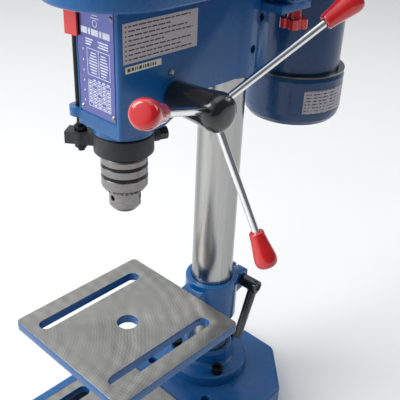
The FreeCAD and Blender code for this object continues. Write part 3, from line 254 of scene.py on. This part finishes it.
def metalFinish(name, colour, roughness, lineScale=(1, 1, 60), spacing=60.0, depth=0.5, dark=0.75,
                turn=(0, 0, 0), stain=0.25):
    material, tree, shader, where = newFinish(name)
    lines = placeGroup(tree, toolLines, stretch(tree, where, lineScale, turn), Spacing=spacing, Depth=depth)
    cloud = ramp(tree, noiseOn(tree, where, 26.0, 5.0), 0.4, 0.75)
    darker = tuple(c * dark for c in colour)
    base = mixColour(tree, lines.outputs["Line"], darker, colour)
    base = mixColour(tree, maths(tree, "MULTIPLY", cloud, stain), base, tuple(c * 0.6 for c in colour))
    tree.links.new(base, shader.inputs["Base Color"])
    tree.links.new(ramp(tree, lines.outputs["Line"], 0, 1, roughness + 0.08, roughness - 0.03),
                   shader.inputs["Roughness"])
    tree.links.new(lines.outputs["Normal"], shader.inputs["Normal"])
    shader.inputs["Metallic"].default_value = 1.0
    return material


def plasticFinish(name, colour, shade, roughness, grain=900.0, bump=0.00005, coat=0.0):
    material, tree, shader, where = newFinish(name)
    patch = ramp(tree, noiseOn(tree, where, 55.0, 4.0), 0.35, 0.7)
    fine = noiseOn(tree, where, grain, 2.0)
    dust = placeGroup(tree, settledDust, where, Amount=0.05)
    base = mixColour(tree, patch, colour, shade)
    base = mixColour(tree, dust.outputs["Mask"], base, (0.5, 0.5, 0.5))
    tree.links.new(base, shader.inputs["Base Color"])
    tree.links.new(ramp(tree, patch, 0, 1, roughness, roughness + 0.08), shader.inputs["Roughness"])
    tree.links.new(bumpFrom(tree, fine, bump), shader.inputs["Normal"])
    shader.inputs["Coat Weight"].default_value = coat
    shader.inputs["Coat Roughness"].default_value = 0.06
    return material


def castFinish(name, colour, shade, roughness):
    material, tree, shader, where = newFinish(name)
    coarse = noiseOn(tree, where, 420.0, 4.0, 0.65)
    pits = ramp(tree, noiseOn(tree, where, 900.0, 2.0), 0.3, 0.5)
    patch = ramp(tree, noiseOn(tree, where, 45.0, 5.0), 0.35, 0.7)
    wear = placeGroup(tree, edgeWear, where, Reach=0.60)
    base = mixColour(tree, patch, colour, shade)
    base = mixColour(tree, wear.outputs["Mask"], base, (0.35, 0.35, 0.36))
    tree.links.new(base, shader.inputs["Base Color"])
    shader.inputs["Metallic"].default_value = 0.3
    tree.links.new(ramp(tree, pits, 0, 1, roughness + 0.15, roughness), shader.inputs["Roughness"])
    height = maths(tree, "ADD", coarse, maths(tree, "MULTIPLY", pits, 0.3))
    tree.links.new(bumpFrom(tree, height, 0.0006), shader.inputs["Normal"])
    return material


def milledTopFinish():
    # a face cutter leaves overlapping arcs on the table; its sides keep the paint
    look = {"arcSpacing": 3.2 * mm, "sweep": 0.11, "wander": 0.012}
    material, tree, shader, where = newFinish("milledTop")
    flat = stretch(tree, where, (1, 1, 0))
    warped = addNode(tree, "ShaderNodeTexNoise", Scale=14.0, Detail=2.0)
    tree.links.new(flat, warped.inputs["Vector"])
    arcs = []
    for shift, spread in ((look["sweep"], 1.0), (-look["sweep"] * 0.8, 0.6)):
        centred = stretch(tree, flat, (1, 1, 1), move=(shift * 0.6, 0.127 + shift, 0))
        distance = addNode(tree, "ShaderNodeVectorMath", operation="LENGTH")
        tree.links.new(centred, distance.inputs[0])
        wander = maths(tree, "MULTIPLY", warped.outputs["Fac"], look["wander"])
        reach = maths(tree, "ADD", distance.outputs["Value"], wander)
        wave = maths(tree, "SINE", maths(tree, "MULTIPLY", reach, 2 * math.pi / look["arcSpacing"]))
        slow = maths(tree, "SINE", maths(tree, "MULTIPLY", reach, 2 * math.pi / (look["arcSpacing"] * 4.3)))
        both = maths(tree, "ADD", maths(tree, "MULTIPLY", wave, 0.4), maths(tree, "MULTIPLY", slow, 0.45))
        arcs.append(maths(tree, "MULTIPLY", both, spread))
    swirl = maths(tree, "ADD", arcs[0], arcs[1])
    mottled = maths(tree, "MULTIPLY", swirl, ramp(tree, warped.outputs["Fac"], 0.3, 0.65))
    line = ramp(tree, mottled, -0.9, 0.9)
    patch = ramp(tree, noiseOn(tree, where, 60.0, 5.0), 0.35, 0.7)
    ground = mixColour(tree, line, (0.25, 0.245, 0.23), (0.42, 0.415, 0.40))
    ground = mixColour(tree, maths(tree, "MULTIPLY", patch, 0.35), ground, (0.20, 0.185, 0.17))
    tree.links.new(ground, shader.inputs["Base Color"])
    shader.inputs["Metallic"].default_value = 0.85
    tree.links.new(ramp(tree, line, 0, 1, 0.46, 0.30), shader.inputs["Roughness"])
    tree.links.new(bumpFrom(tree, line, 0.00012), shader.inputs["Normal"])
    return material


def polishedTubeFinish():
    # drawn tube: long streaks along it, darker where the grinding left the skin
    material, tree, shader, where = newFinish("polishedTube")
    long = stretch(tree, where, (1, 1, 0.015))
    broad = ramp(tree, noiseOn(tree, long, 42.0, 2.0), 0.32, 0.62)
    fine = noiseOn(tree, long, 420.0, 3.0)
    base = mixColour(tree, broad, (0.20, 0.20, 0.20), (0.44, 0.44, 0.43))
    base = mixColour(tree, ramp(tree, fine, 0.3, 0.8, 0.0, 0.35), base, (0.58, 0.58, 0.57))
    tree.links.new(base, shader.inputs["Base Color"])
    tree.links.new(ramp(tree, fine, 0.2, 0.8, 0.20, 0.30), shader.inputs["Roughness"])
    tree.links.new(bumpFrom(tree, fine, 0.00003), shader.inputs["Normal"])
    shader.inputs["Metallic"].default_value = 1.0
    return material


def motorLabelFinish():
    # rows of short dashes across a silver label
    look = {"rowGap": 3.6 * mm, "dash": 620.0}
    material, tree, shader, where = newFinish("motorLabelPrint")
    parts = addNode(tree, "ShaderNodeSeparateXYZ")
    tree.links.new(where, parts.inputs[0])
    row = maths(tree, "SINE", maths(tree, "MULTIPLY", parts.outputs["Z"], 2 * math.pi / look["rowGap"]))
    inked = ramp(tree, row, 0.25, 0.4)
    words = ramp(tree, noiseOn(tree, stretch(tree, where, (1, 1, 0.12)), look["dash"], 1.0), 0.44, 0.48)
    ink = maths(tree, "MULTIPLY", inked, words)
    tree.links.new(mixColour(tree, ink, (0.36, 0.34, 0.38), (0.03, 0.03, 0.04)),
                   shader.inputs["Base Color"])
    shader.inputs["Metallic"].default_value = 0.4
    shader.inputs["Roughness"].default_value = 0.34
    return material


finishes = {
    "blue_casting": paintedFinish("blueCasting", (0.004, 0.098, 0.30),
                                  (0.004, 0.085, 0.27), 0.24, 260.0, 1.2, coat=0.25),
    "blue_sheet": paintedFinish("blueSheet", (0.004, 0.10, 0.31),
                                (0.004, 0.088, 0.28), 0.20, 500.0, 0.35, 0.0, 0.25),
    "ground_iron": milledTopFinish(),
    "polished_steel": polishedTubeFinish(),
    "bright_steel": metalFinish("brightSteel", (0.30, 0.29, 0.29), 0.20, (1, 1, 14), 190.0, 0.30, 0.72),
    "black_steel": metalFinish("blackSteel", (0.035, 0.035, 0.037), 0.34, (1, 1, 1), 420.0, 0.3, 0.7),
    "dark_casting": castFinish("darkCasting", (0.022, 0.022, 0.025), (0.035, 0.035, 0.038), 0.42),
    "black_plastic": plasticFinish("blackPlastic", (0.008, 0.008, 0.009),
                                   (0.014, 0.014, 0.015), 0.16, coat=0.5),
    "red_plastic": plasticFinish("redPlastic", (0.62, 0.008, 0.012), (0.52, 0.006, 0.010), 0.12, coat=0.7),
    "green_plastic": plasticFinish("greenPlastic", (0.01, 0.33, 0.07), (0.01, 0.28, 0.06), 0.2, coat=0.4),
    "chrome": metalFinish("chromePlate", (0.86, 0.86, 0.87),
                          0.06, (1, 1, 1), 200.0, 0.08, 0.96, stain=0.05),
    "printed_plate": metalFinish("plateBlue", (0.16, 0.17, 0.42), 0.30, (60, 1, 1), 40.0, 0.15, 0.9),
    "printed_label": plasticFinish("labelFilm", (0.52, 0.46, 0.47), (0.46, 0.41, 0.43), 0.32, coat=0.2),
    "cast_aluminium": metalFinish("castAluminium", (0.60, 0.61, 0.63), 0.34, (1, 1, 10), 160.0, 0.5, 0.8),
    "belt_rubber": plasticFinish("beltRubber", (0.012, 0.012, 0.012),
                                 (0.02, 0.02, 0.02), 0.62, 1400.0, 0.0002),
    "copper_winding": metalFinish("copperWinding", (0.50, 0.20, 0.08), 0.3),
    "lamination": metalFinish("lamination", (0.25, 0.25, 0.27), 0.45, (1, 1, 90), 22.0, 1.0, 0.5),
}


def wearFinish(obj, slot):
    if not obj.material_slots:
        obj.data.materials.append(finishes[slot])
    for place in obj.material_slots:
        place.material = finishes[slot]


for name, obj in nodes.items():
    wearFinish(obj, slotOf[name])
print("finishes on", len(nodes), "nodes")


# shaping helpers

def clearSelection():
    if bpy.context.object and bpy.context.object.mode != "OBJECT":
        bpy.ops.object.mode_set(mode="OBJECT")
    bpy.ops.object.select_all(action="DESELECT")


def inEditMode(selectKind="VERT"):
    bpy.ops.object.mode_set(mode="EDIT")
    bpy.ops.mesh.select_mode(type=selectKind)


def bevelEdges(piece, width, segments=3, limit=35, clamp=False):
    bevel = piece.modifiers.new("edges", "BEVEL")
    bevel.width = width
    bevel.segments = segments
    bevel.limit_method = "ANGLE"
    bevel.angle_limit = math.radians(limit)
    bevel.use_clamp_overlap = clamp
    bevel.miter_outer = "MITER_ARC"
    bpy.ops.object.modifier_apply(modifier=bevel.name)


def smoothAll(piece, angle=38):
    bpy.ops.object.shade_smooth_by_angle(angle=math.radians(angle))


def hand(piece, name, body, slot, *replaced):
    piece.name = name
    piece.data.name = name
    wearFinish(piece, slot)
    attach(piece, body)
    if replaced:
        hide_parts(*replaced)
    return piece


def softened(node, width, segments=3, limit=35, clamp=False):
    # the casting's own outline with its sharp edges rounded, as it leaves the mould
    clearSelection()
    source = nodes[node]
    source.select_set(True)
    bpy.context.view_layer.objects.active = source
    bpy.ops.object.duplicate()
    piece = bpy.context.object
    piece.parent = None
    piece.matrix_world = Matrix.Identity(4)
    inEditMode()
    bpy.ops.mesh.select_all(action="SELECT")
    bpy.ops.mesh.remove_doubles(threshold=0.01 * mm)
    bpy.ops.mesh.dissolve_limited(angle_limit=math.radians(0.6))
    bpy.ops.object.mode_set(mode="OBJECT")
    bevelEdges(piece, width, segments, limit, clamp)
    smoothAll(piece)
    return hand(piece, node + "_shaped", bodyOf[node], slotOf[node], node)


# their cuts stand close together
crowded = ("head_casting", "motor_plate", "cover_tray", "cover_lid", "depth_collar")
castEdges = {
    "base": 1.6, "column_flange": 1.4, "table_bracket": 1.2, "head_casting": 1.4,
    "depth_collar": 1.2, "table": 0.7,
    "flange_bolts": 0.5, "clamp_lever": 0.8, "clamp_stud": 0.5, "tilt_bolt": 0.5,
    "cover_tray": 0.6, "cover_lid": 0.8,
    "motor_plate": 0.6, "switch_box": 1.2,
    "start_button": 0.6, "stop_button": 0.6, "spring_housing": 0.8,
    "motor_pulley": 0.4, "spindle_pulley": 0.4, "depth_nuts": 0.4, "collar_screw": 0.4, "cable_gland": 0.5,
    "cover_knob": 0.5, "head_set_screws": 0.3, "guide_screw": 0.3, "cover_hinges": 0.3,
}
for node, width in castEdges.items():
    softened(node, width * mm, clamp=node in crowded)
print("rounded castings:", len(castEdges))


# painted sides round a milled face, and painted shade on the motor: its cans take a darker copy of the blue paint

def twoFinishes(piece, keep, rest, isKept):
    # the faces that the test doesn't keep take the second finish
    piece.data.materials.clear()
    piece.data.materials.append(keep)
    piece.data.materials.append(rest)
    for face in piece.data.polygons:
        face.material_index = 0 if isKept(face) else 1


tableTop = high("table").z
padTop = max(face.center.z for face in bpy.data.objects["base_shaped"].data.polygons
             if face.normal.z > 0.95)
twoFinishes(bpy.data.objects["table_shaped"], finishes["ground_iron"], finishes["blue_casting"],
            lambda face: face.normal.z > 0.9 and face.center.z > tableTop - 0.3 * mm)
twoFinishes(bpy.data.objects["base_shaped"], finishes["ground_iron"], finishes["blue_casting"],
            lambda face: (face.normal.z > 0.95 and face.center.z > padTop - 0.2 * mm
                          and face.center.y < -60 * mm))
# painted shade: the same blue paint made darker for the motor cans, standing in for the shadow that falls over
# them
motorPaintedShade = paintedFinish("motorPaintedShade", (0.002, 0.045, 0.145), (0.002, 0.038, 0.125),
                           0.22, 500.0, 0.35, 0.0, 0.25)
for name in ("motor_upper_can", "motor_end_can"):
    for place in nodes[name].material_slots:
        place.material = motorPaintedShade
nodes["motor_label"].material_slots[0].material = motorLabelFinish()
print("second finishes on the table, the base and the motor")


# turned pieces

def smoothLine(points, steps=4):
    # a rounded outline through a few given points
    line = []
    for at in range(len(points) - 1):
        before = points[max(at - 1, 0)]
        first, second = points[at], points[at + 1]
        after = points[min(at + 2, len(points) - 1)]
        for step in range(steps):
            t = step / steps
            line.append(tuple(
                0.5 * (2 * b + (c - a) * t + (2 * a - 5 * b + 4 * c - d) * t * t
                       + (3 * b - a - 3 * c + d) * t ** 3)
                for a, b, c, d in zip(before, first, second, after)))
    return line + [points[-1]]


def turnUp(profile, centre, direction=(0, 0, 1), sides=64, closed=False):
    # one ring is drawn, then pulled and sized from point to point of the outline
    clearSelection()
    radius, height = profile[0]
    bpy.ops.mesh.primitive_circle_add(vertices=sides, radius=radius, location=(0, 0, height))
    piece = bpy.context.object
    bpy.ops.object.transform_apply(location=True, rotation=True, scale=True)
    inEditMode()
    bpy.ops.mesh.select_all(action="SELECT")
    for nextRadius, nextHeight in profile[1:] + (profile[:1] if closed else []):
        bpy.ops.mesh.extrude_region_move(TRANSFORM_OT_translate={"value": (0, 0, nextHeight - height)})
        factor = nextRadius / radius
        bpy.ops.transform.resize(value=(factor, factor, 1), center_override=(0, 0, nextHeight))
        radius, height = nextRadius, nextHeight
    bpy.ops.mesh.select_all(action="SELECT")
    bpy.ops.mesh.remove_doubles(threshold=0.001 * mm)
    if not closed:
        bpy.ops.mesh.select_all(action="DESELECT")
        bpy.ops.mesh.select_non_manifold()
        bpy.ops.mesh.fill_holes(sides=sides)
    bpy.ops.mesh.select_all(action="SELECT")
    bpy.ops.mesh.normals_make_consistent(inside=False)
    bpy.ops.object.mode_set(mode="OBJECT")
    piece.rotation_mode = "QUATERNION"
    piece.rotation_quaternion = Vector(direction).to_track_quat("Z", "Y")
    piece.location = centre
    bpy.ops.object.transform_apply(location=True, rotation=True, scale=True)
    return piece


def scaled(points):
    return [(radius * mm, height * mm) for radius, height in points]


def spokeWay(number):
    # the three arms lean outwards and stand a third of a turn apart
    look = {"lean": 22.3, "phase": 21.1}
    lean = math.radians(look["lean"])
    turned = math.radians(look["phase"] + 120 * (number - 1))
    return Vector((math.sin(lean), -math.cos(lean) * math.cos(turned), math.cos(lean) * math.sin(turned)))


def spokeRoot():
    return Vector((high("feed_shaft").x - 11.4 * mm, feedAxis.y, feedAxis.z))


def buildKnobs():
    knob = {"reach": 113, "length": 34, "rod": 3.25,
            "outline": [(6.0, 0.0), (6.7, 1.0), (7.1, 5.0), (7.9, 11.0), (9.2, 19.0),
                        (10.1, 25.0), (10.15, 28.5),
                        (9.3, 31.6), (7.2, 33.4), (4.0, 34.0)]}
    for number in (1, 2, 3):
        way = spokeWay(number)
        foot = spokeRoot() + way * knob["reach"] * mm
        outline = [(knob["rod"] + 0.05, 1.2), (4.6, 0.2)] + smoothLine(knob["outline"]) + [(0.4, 34.0)]
        piece = turnUp(scaled(outline), foot, way)
        smoothAll(piece, 45)
        hand(piece, "knob_grip_%d" % number, "feed", "red_plastic", "feed_knob_%d" % number)
        rod = [(0.4, 10.6), (3.0, 10.6), (3.25, 11.0), (3.25, 116.0),
               (2.9, 116.4), (2.9, 127.0), (0.4, 127.2)]
        piece = turnUp(scaled(rod), spokeRoot(), way, 40)
        smoothAll(piece, 30)
        hand(piece, "spoke_rod_%d" % number, "feed", "chrome", "feed_spoke_%d" % number)


def buildHub():
    outline = smoothLine([(13.6, 32.2), (14.3, 48.0), (15.3, 64.0), (16.8, 76.0),
                          (16.6, 81.0), (14.6, 85.8),
                          (10.4, 88.7), (5.6, 89.7), (2.4, 89.9)])
    profile = [(8.2, 31.4), (13.0, 31.4), (13.5, 31.8)] + outline + [(0.4, 89.95), (0.3, 85.0), (8.2, 84.8)]
    piece = turnUp(scaled(profile), (0, feedAxis.y, feedAxis.z), (1, 0, 0), 80, closed=True)
    smoothAll(piece, 40)
    hand(piece, "hub_shell", "feed", "black_plastic", "feed_hub")


def buildBands():
    # black rings lie in the sleeve's two grooves as painted shade in them, and a black ring on the end can's rim
    # is painted shade along the joint of the motor's cans
    axis = (spindleAxis.x, spindleAxis.y, 0)
    for number, (bottom, top) in enumerate(((333.1, 335.9), (343.8, 345.9)), 1):
        profile = [(19.9, bottom), (20.35, bottom), (20.45, bottom + 0.5),
                   (20.45, top - 0.5), (20.35, top), (19.9, top)]
        piece = turnUp(scaled(profile), axis, sides=96, closed=True)
        smoothAll(piece, 40)
        hand(piece, "sleeve_groove_shade_%d" % number, "chuck_sleeve", "black_steel")
    # painted shade: a black ring on the end can's rim, where the shadow lies along the joint of the motor's cans
    lip = high("motor_end_can").z / mm
    profile = [(47.6, lip - 0.6), (53.0, lip - 0.6), (53.2, lip - 0.3), (53.2, lip + 1.0),
               (52.8, lip + 1.4),
               (47.6, lip + 1.4)]
    piece = turnUp(scaled(profile), (motorAxis.x, motorAxis.y, 0), sides=112, closed=True)
    smoothAll(piece, 40)
    hand(piece, "motor_rim_shade", "motor", "black_plastic")


buildKnobs()
buildHub()
buildBands()
print("feed handle turned")


# printed plates and labels

def addBlock(low, high, turn=(0, 0, 0)):
    # one more thin block in the mesh being edited
    size = [top - bottom for bottom, top in zip(low, high)]
    centre = [(top + bottom) / 2 for bottom, top in zip(low, high)]
    bpy.ops.mesh.primitive_cube_add(size=1, location=centre, scale=size, rotation=turn)


def startBlocks():
    clearSelection()
    bpy.ops.mesh.primitive_cube_add(size=1)
    inEditMode()
    bpy.ops.mesh.select_all(action="SELECT")
    bpy.ops.mesh.delete(type="VERT")
    return bpy.context.object


def endBlocks(piece):
    bpy.ops.object.mode_set(mode="OBJECT")
    return piece


def buildPlatePrint():
    # generic bars, a step chart and a table of cells stand in for the plate's print
    look = {"proud": 0.08, "edge": 17.0, "titleHeight": 461.0}
    front = low("data_plate").y
    back = front + 0.05 * mm

    def bar(x0, z0, x1, z1):
        addBlock((x0 * mm, front - look["proud"] * mm, z0 * mm), (x1 * mm, back, z1 * mm))

    piece = startBlocks()
    bar(-3.2, 476.4, 3.6, 477.2)
    bar(-4.6, 474.2, 5.0, 475.0)
    for start, end in ((-17.0, -9.5), (-8.3, -5.8), (-4.6, 4.0), (5.2, 8.0), (9.2, 17.6)):
        bar(start, look["titleHeight"], end, look["titleHeight"] + 5.0)
    for row in range(3):
        height = 456.6 - row * 2.1
        bar(-12.0, height, -3.0 - row * 1.4, height + 1.1)
        bar(3.0 + (row % 2) * 1.5, height, 15.5, height + 1.1)
    frameLeft, frameRight, chartLow, chartHigh = -11.0, 17.0, 428.0, 449.5
    for height in (chartLow, chartHigh):
        bar(frameLeft, height, frameRight, height + 0.5)
    for place in (frameLeft, 3.0, frameRight - 0.5):
        bar(place, chartLow, place + 0.5, chartHigh)
    for step in range(8):
        inset = abs(step - 3.5) * 0.9
        height = chartLow + 2.2 + step * 2.3
        bar(frameLeft + 1.6 + inset, height, 1.8 - inset * 0.4, height + 0.9)
        bar(4.6 + inset * 0.5, height, frameRight - 1.8 - inset, height + 0.9)
    for row in range(8):
        height = 401.5 + row * 3.1
        bar(frameLeft, height, frameRight, height + 0.45)
        for column in range(5):
            if (row + 2 * column) % 7:
                left = frameLeft + 1.2 + column * 5.6
                bar(left, height + 1.1, left + 3.4, height + 2.1)
    for column in range(6):
        left = frameLeft + column * 5.5
        bar(left, 401.5, left + 0.45, 423.6)
    for row in range(6):
        bar(-16.4, 404.0 + row * 8.6, -15.2, 405.4 + row * 8.6)
    endBlocks(piece)
    hand(piece, "plate_print", "frame", "printed_label")
    wearMaterial(piece, inkWhite)

    clearSelection()
    bpy.ops.mesh.primitive_torus_add(location=(0, front - 0.02 * mm, 470.6 * mm),
                                     rotation=(math.pi / 2, 0, 0), major_radius=2.5 * mm,
                                     minor_radius=0.35 * mm, major_segments=40, minor_segments=8)
    ring = bpy.context.object
    bpy.ops.object.transform_apply(location=True, rotation=True, scale=True)
    inEditMode()
    bpy.ops.mesh.select_all(action="SELECT")
    bpy.ops.transform.resize(value=(1, 0.25, 1), center_override=(0, front, 470.6 * mm))
    bpy.ops.object.mode_set(mode="OBJECT")
    smoothAll(ring, 60)
    hand(ring, "plate_ring", "frame", "printed_label")
    wearMaterial(ring, inkWhite)


def buildLabelPrint():
    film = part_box("info_label")
    left, right = film[0][1], film[1][1]
    bottom, top = film[0][2], film[1][2]
    face = film[1][0]
    lengths = (0.93, 0.62, 0.88, 0.97, 0.52, 0.94, 0.78, 0.96)
    spacing = (top - bottom) / (len(lengths) + 0.6)
    piece = startBlocks()
    for row, share in enumerate(lengths):
        height = top - spacing * (row + 0.9)
        start = left + 5.4 * mm
        stop = left + 5.4 * mm + (right - left - 9 * mm) * share
        addBlock((face - 0.05 * mm, left + 2.2 * mm, height - 0.1 * mm),
                 (face + 0.06 * mm, left + 3.6 * mm, height + 1.3 * mm))
        place = start
        word = 0
        while place < stop:
            length = (3.2 + 5.1 * ((row * 5 + word * 3) % 7) / 7) * mm
            addBlock((face - 0.05 * mm, place, height),
                     (face + 0.06 * mm, min(place + length, stop), height + 1.15 * mm))
            place += length + 1.1 * mm
            word += 1
    endBlocks(piece)
    hand(piece, "label_print", "frame", "printed_label")
    wearMaterial(piece, inkDark)

    strip = startBlocks()
    addBlock((face - 0.1 * mm, left + 2 * mm, bottom - 7.6 * mm),
             (face + 0.05 * mm, left + 40 * mm, bottom - 2.2 * mm))
    endBlocks(strip)
    bevelEdges(strip, 0.04 * mm, 2)
    hand(strip, "small_strip", "frame", "printed_label")
    wearMaterial(strip, paperStrip)
    marks = startBlocks()
    place = left + 4 * mm
    for word, length in enumerate((3.2, 2.4, 1.1, 1.1, 2.6, 1.1, 1.4, 2.2, 1.2, 1.6, 1.2)):
        addBlock((face, place, bottom - 6.3 * mm),
                 (face + 0.11 * mm, place + length * mm, bottom - 3.5 * mm))
        place += (length + 1.1) * mm
    endBlocks(marks)
    hand(marks, "strip_marks", "frame", "printed_label")
    wearMaterial(marks, inkDark)


def wearMaterial(piece, material):
    for place in piece.material_slots:
        place.material = material


inkWhite = plasticFinish("inkWhite", (0.66, 0.70, 0.80), (0.58, 0.62, 0.74), 0.34)
inkDark = plasticFinish("inkDark", (0.035, 0.028, 0.030), (0.06, 0.05, 0.05), 0.4)
paperStrip = plasticFinish("paperStrip", (0.74, 0.72, 0.62), (0.68, 0.65, 0.55), 0.5)
buildPlatePrint()
buildLabelPrint()
print("labels printed")


# floor, light and camera

def buildStudio():
    studio = {"floorSize": 6.0, "floorColour": (0.82, 0.82, 0.82), "brightSide": (-0.84, -0.45, 0.30),
              "dimFrom": -0.05, "brightFrom": 0.55, "dimRoom": (0.14, 0.15, 0.16),
              "brightWall": (0.96, 0.98, 1.0),
              "worldStrength": 1.0}
    bpy.ops.object.select_all(action="DESELECT")
    bpy.ops.mesh.primitive_plane_add(size=studio["floorSize"], location=(0, 0, -0.0005))
    floor = bpy.context.object
    floor.name = "studioFloor"
    bpy.ops.object.transform_apply(location=True, rotation=True, scale=True)
    material, tree, shader, where = newFinish("paleFloor")
    tone = mixColour(tree, ramp(tree, noiseOn(tree, where, 3.0), 0.3, 0.7),
                     studio["floorColour"], (0.84, 0.84, 0.84))
    tree.links.new(tone, shader.inputs["Base Color"])
    shader.inputs["Roughness"].default_value = 0.55
    floor.data.materials.append(material)
    # a bright wall to the front left and a dim room to the right, which is what the polished metal shows
    world = bpy.data.worlds.new("studioWorld")
    world.use_nodes = True
    sky = world.node_tree
    facing = addNode(sky, "ShaderNodeVectorMath", operation="DOT_PRODUCT")
    facing.inputs[1].default_value = studio["brightSide"]
    sky.links.new(sky.nodes.new("ShaderNodeTexCoord").outputs["Generated"], facing.inputs[0])
    light = ramp(sky, facing.outputs["Value"], studio["dimFrom"], studio["brightFrom"])
    background = sky.nodes["Background"]
    sky.links.new(mixColour(sky, light, studio["dimRoom"], studio["brightWall"]),
                  background.inputs["Color"])
    background.inputs["Strength"].default_value = studio["worldStrength"]
    bpy.context.scene.world = world
    bpy.context.scene.view_settings.view_transform = "Standard"


def addLight(name, place, target, size, power, colour):
    lamp = bpy.data.lights.new(name, "AREA")
    lamp.size = size
    lamp.energy = power
    lamp.color = colour
    holder = bpy.data.objects.new(name, lamp)
    bpy.context.scene.collection.objects.link(holder)
    holder.location = place
    holder.rotation_euler = (Vector(target) - Vector(place)).to_track_quat("-Z", "Y").to_euler()


def buildCamera():
    shot = {"place": (0.4023, -0.4685, 0.610), "heading": 42.24, "tilt": -29.96,
            "roll": 2.51, "lens": 59.72}
    lens = bpy.data.cameras.new("viewCamera")
    lens.lens = shot["lens"]
    lens.sensor_width = 36.0
    lens.clip_start = 0.01
    holder = bpy.data.objects.new("viewCamera", lens)
    bpy.context.scene.collection.objects.link(holder)
    turn = (Matrix.Rotation(math.radians(shot["heading"]), 4, "Z")
            @ Matrix.Rotation(math.radians(90 + shot["tilt"]), 4, "X")
            @ Matrix.Rotation(math.radians(shot["roll"]), 4, "Z"))
    holder.matrix_world = Matrix.Translation(shot["place"]) @ turn
    bpy.context.scene.camera = holder


buildStudio()
addLight("keyLight", (-0.9, -1.5, 1.7), (0, -0.1, 0.3), 1.3, 40.0, (1.0, 0.99, 0.97))
addLight("topLight", (0.0, 0.4, 2.4), (0, 0, 0.2), 2.2, 16.0, (0.96, 0.98, 1.0))
addLight("backLight", (0.8, 1.7, 1.4), (0, 0, 0.4), 1.0, 8.0, (1.0, 1.0, 1.0))
buildCamera()
print("studio and camera set")
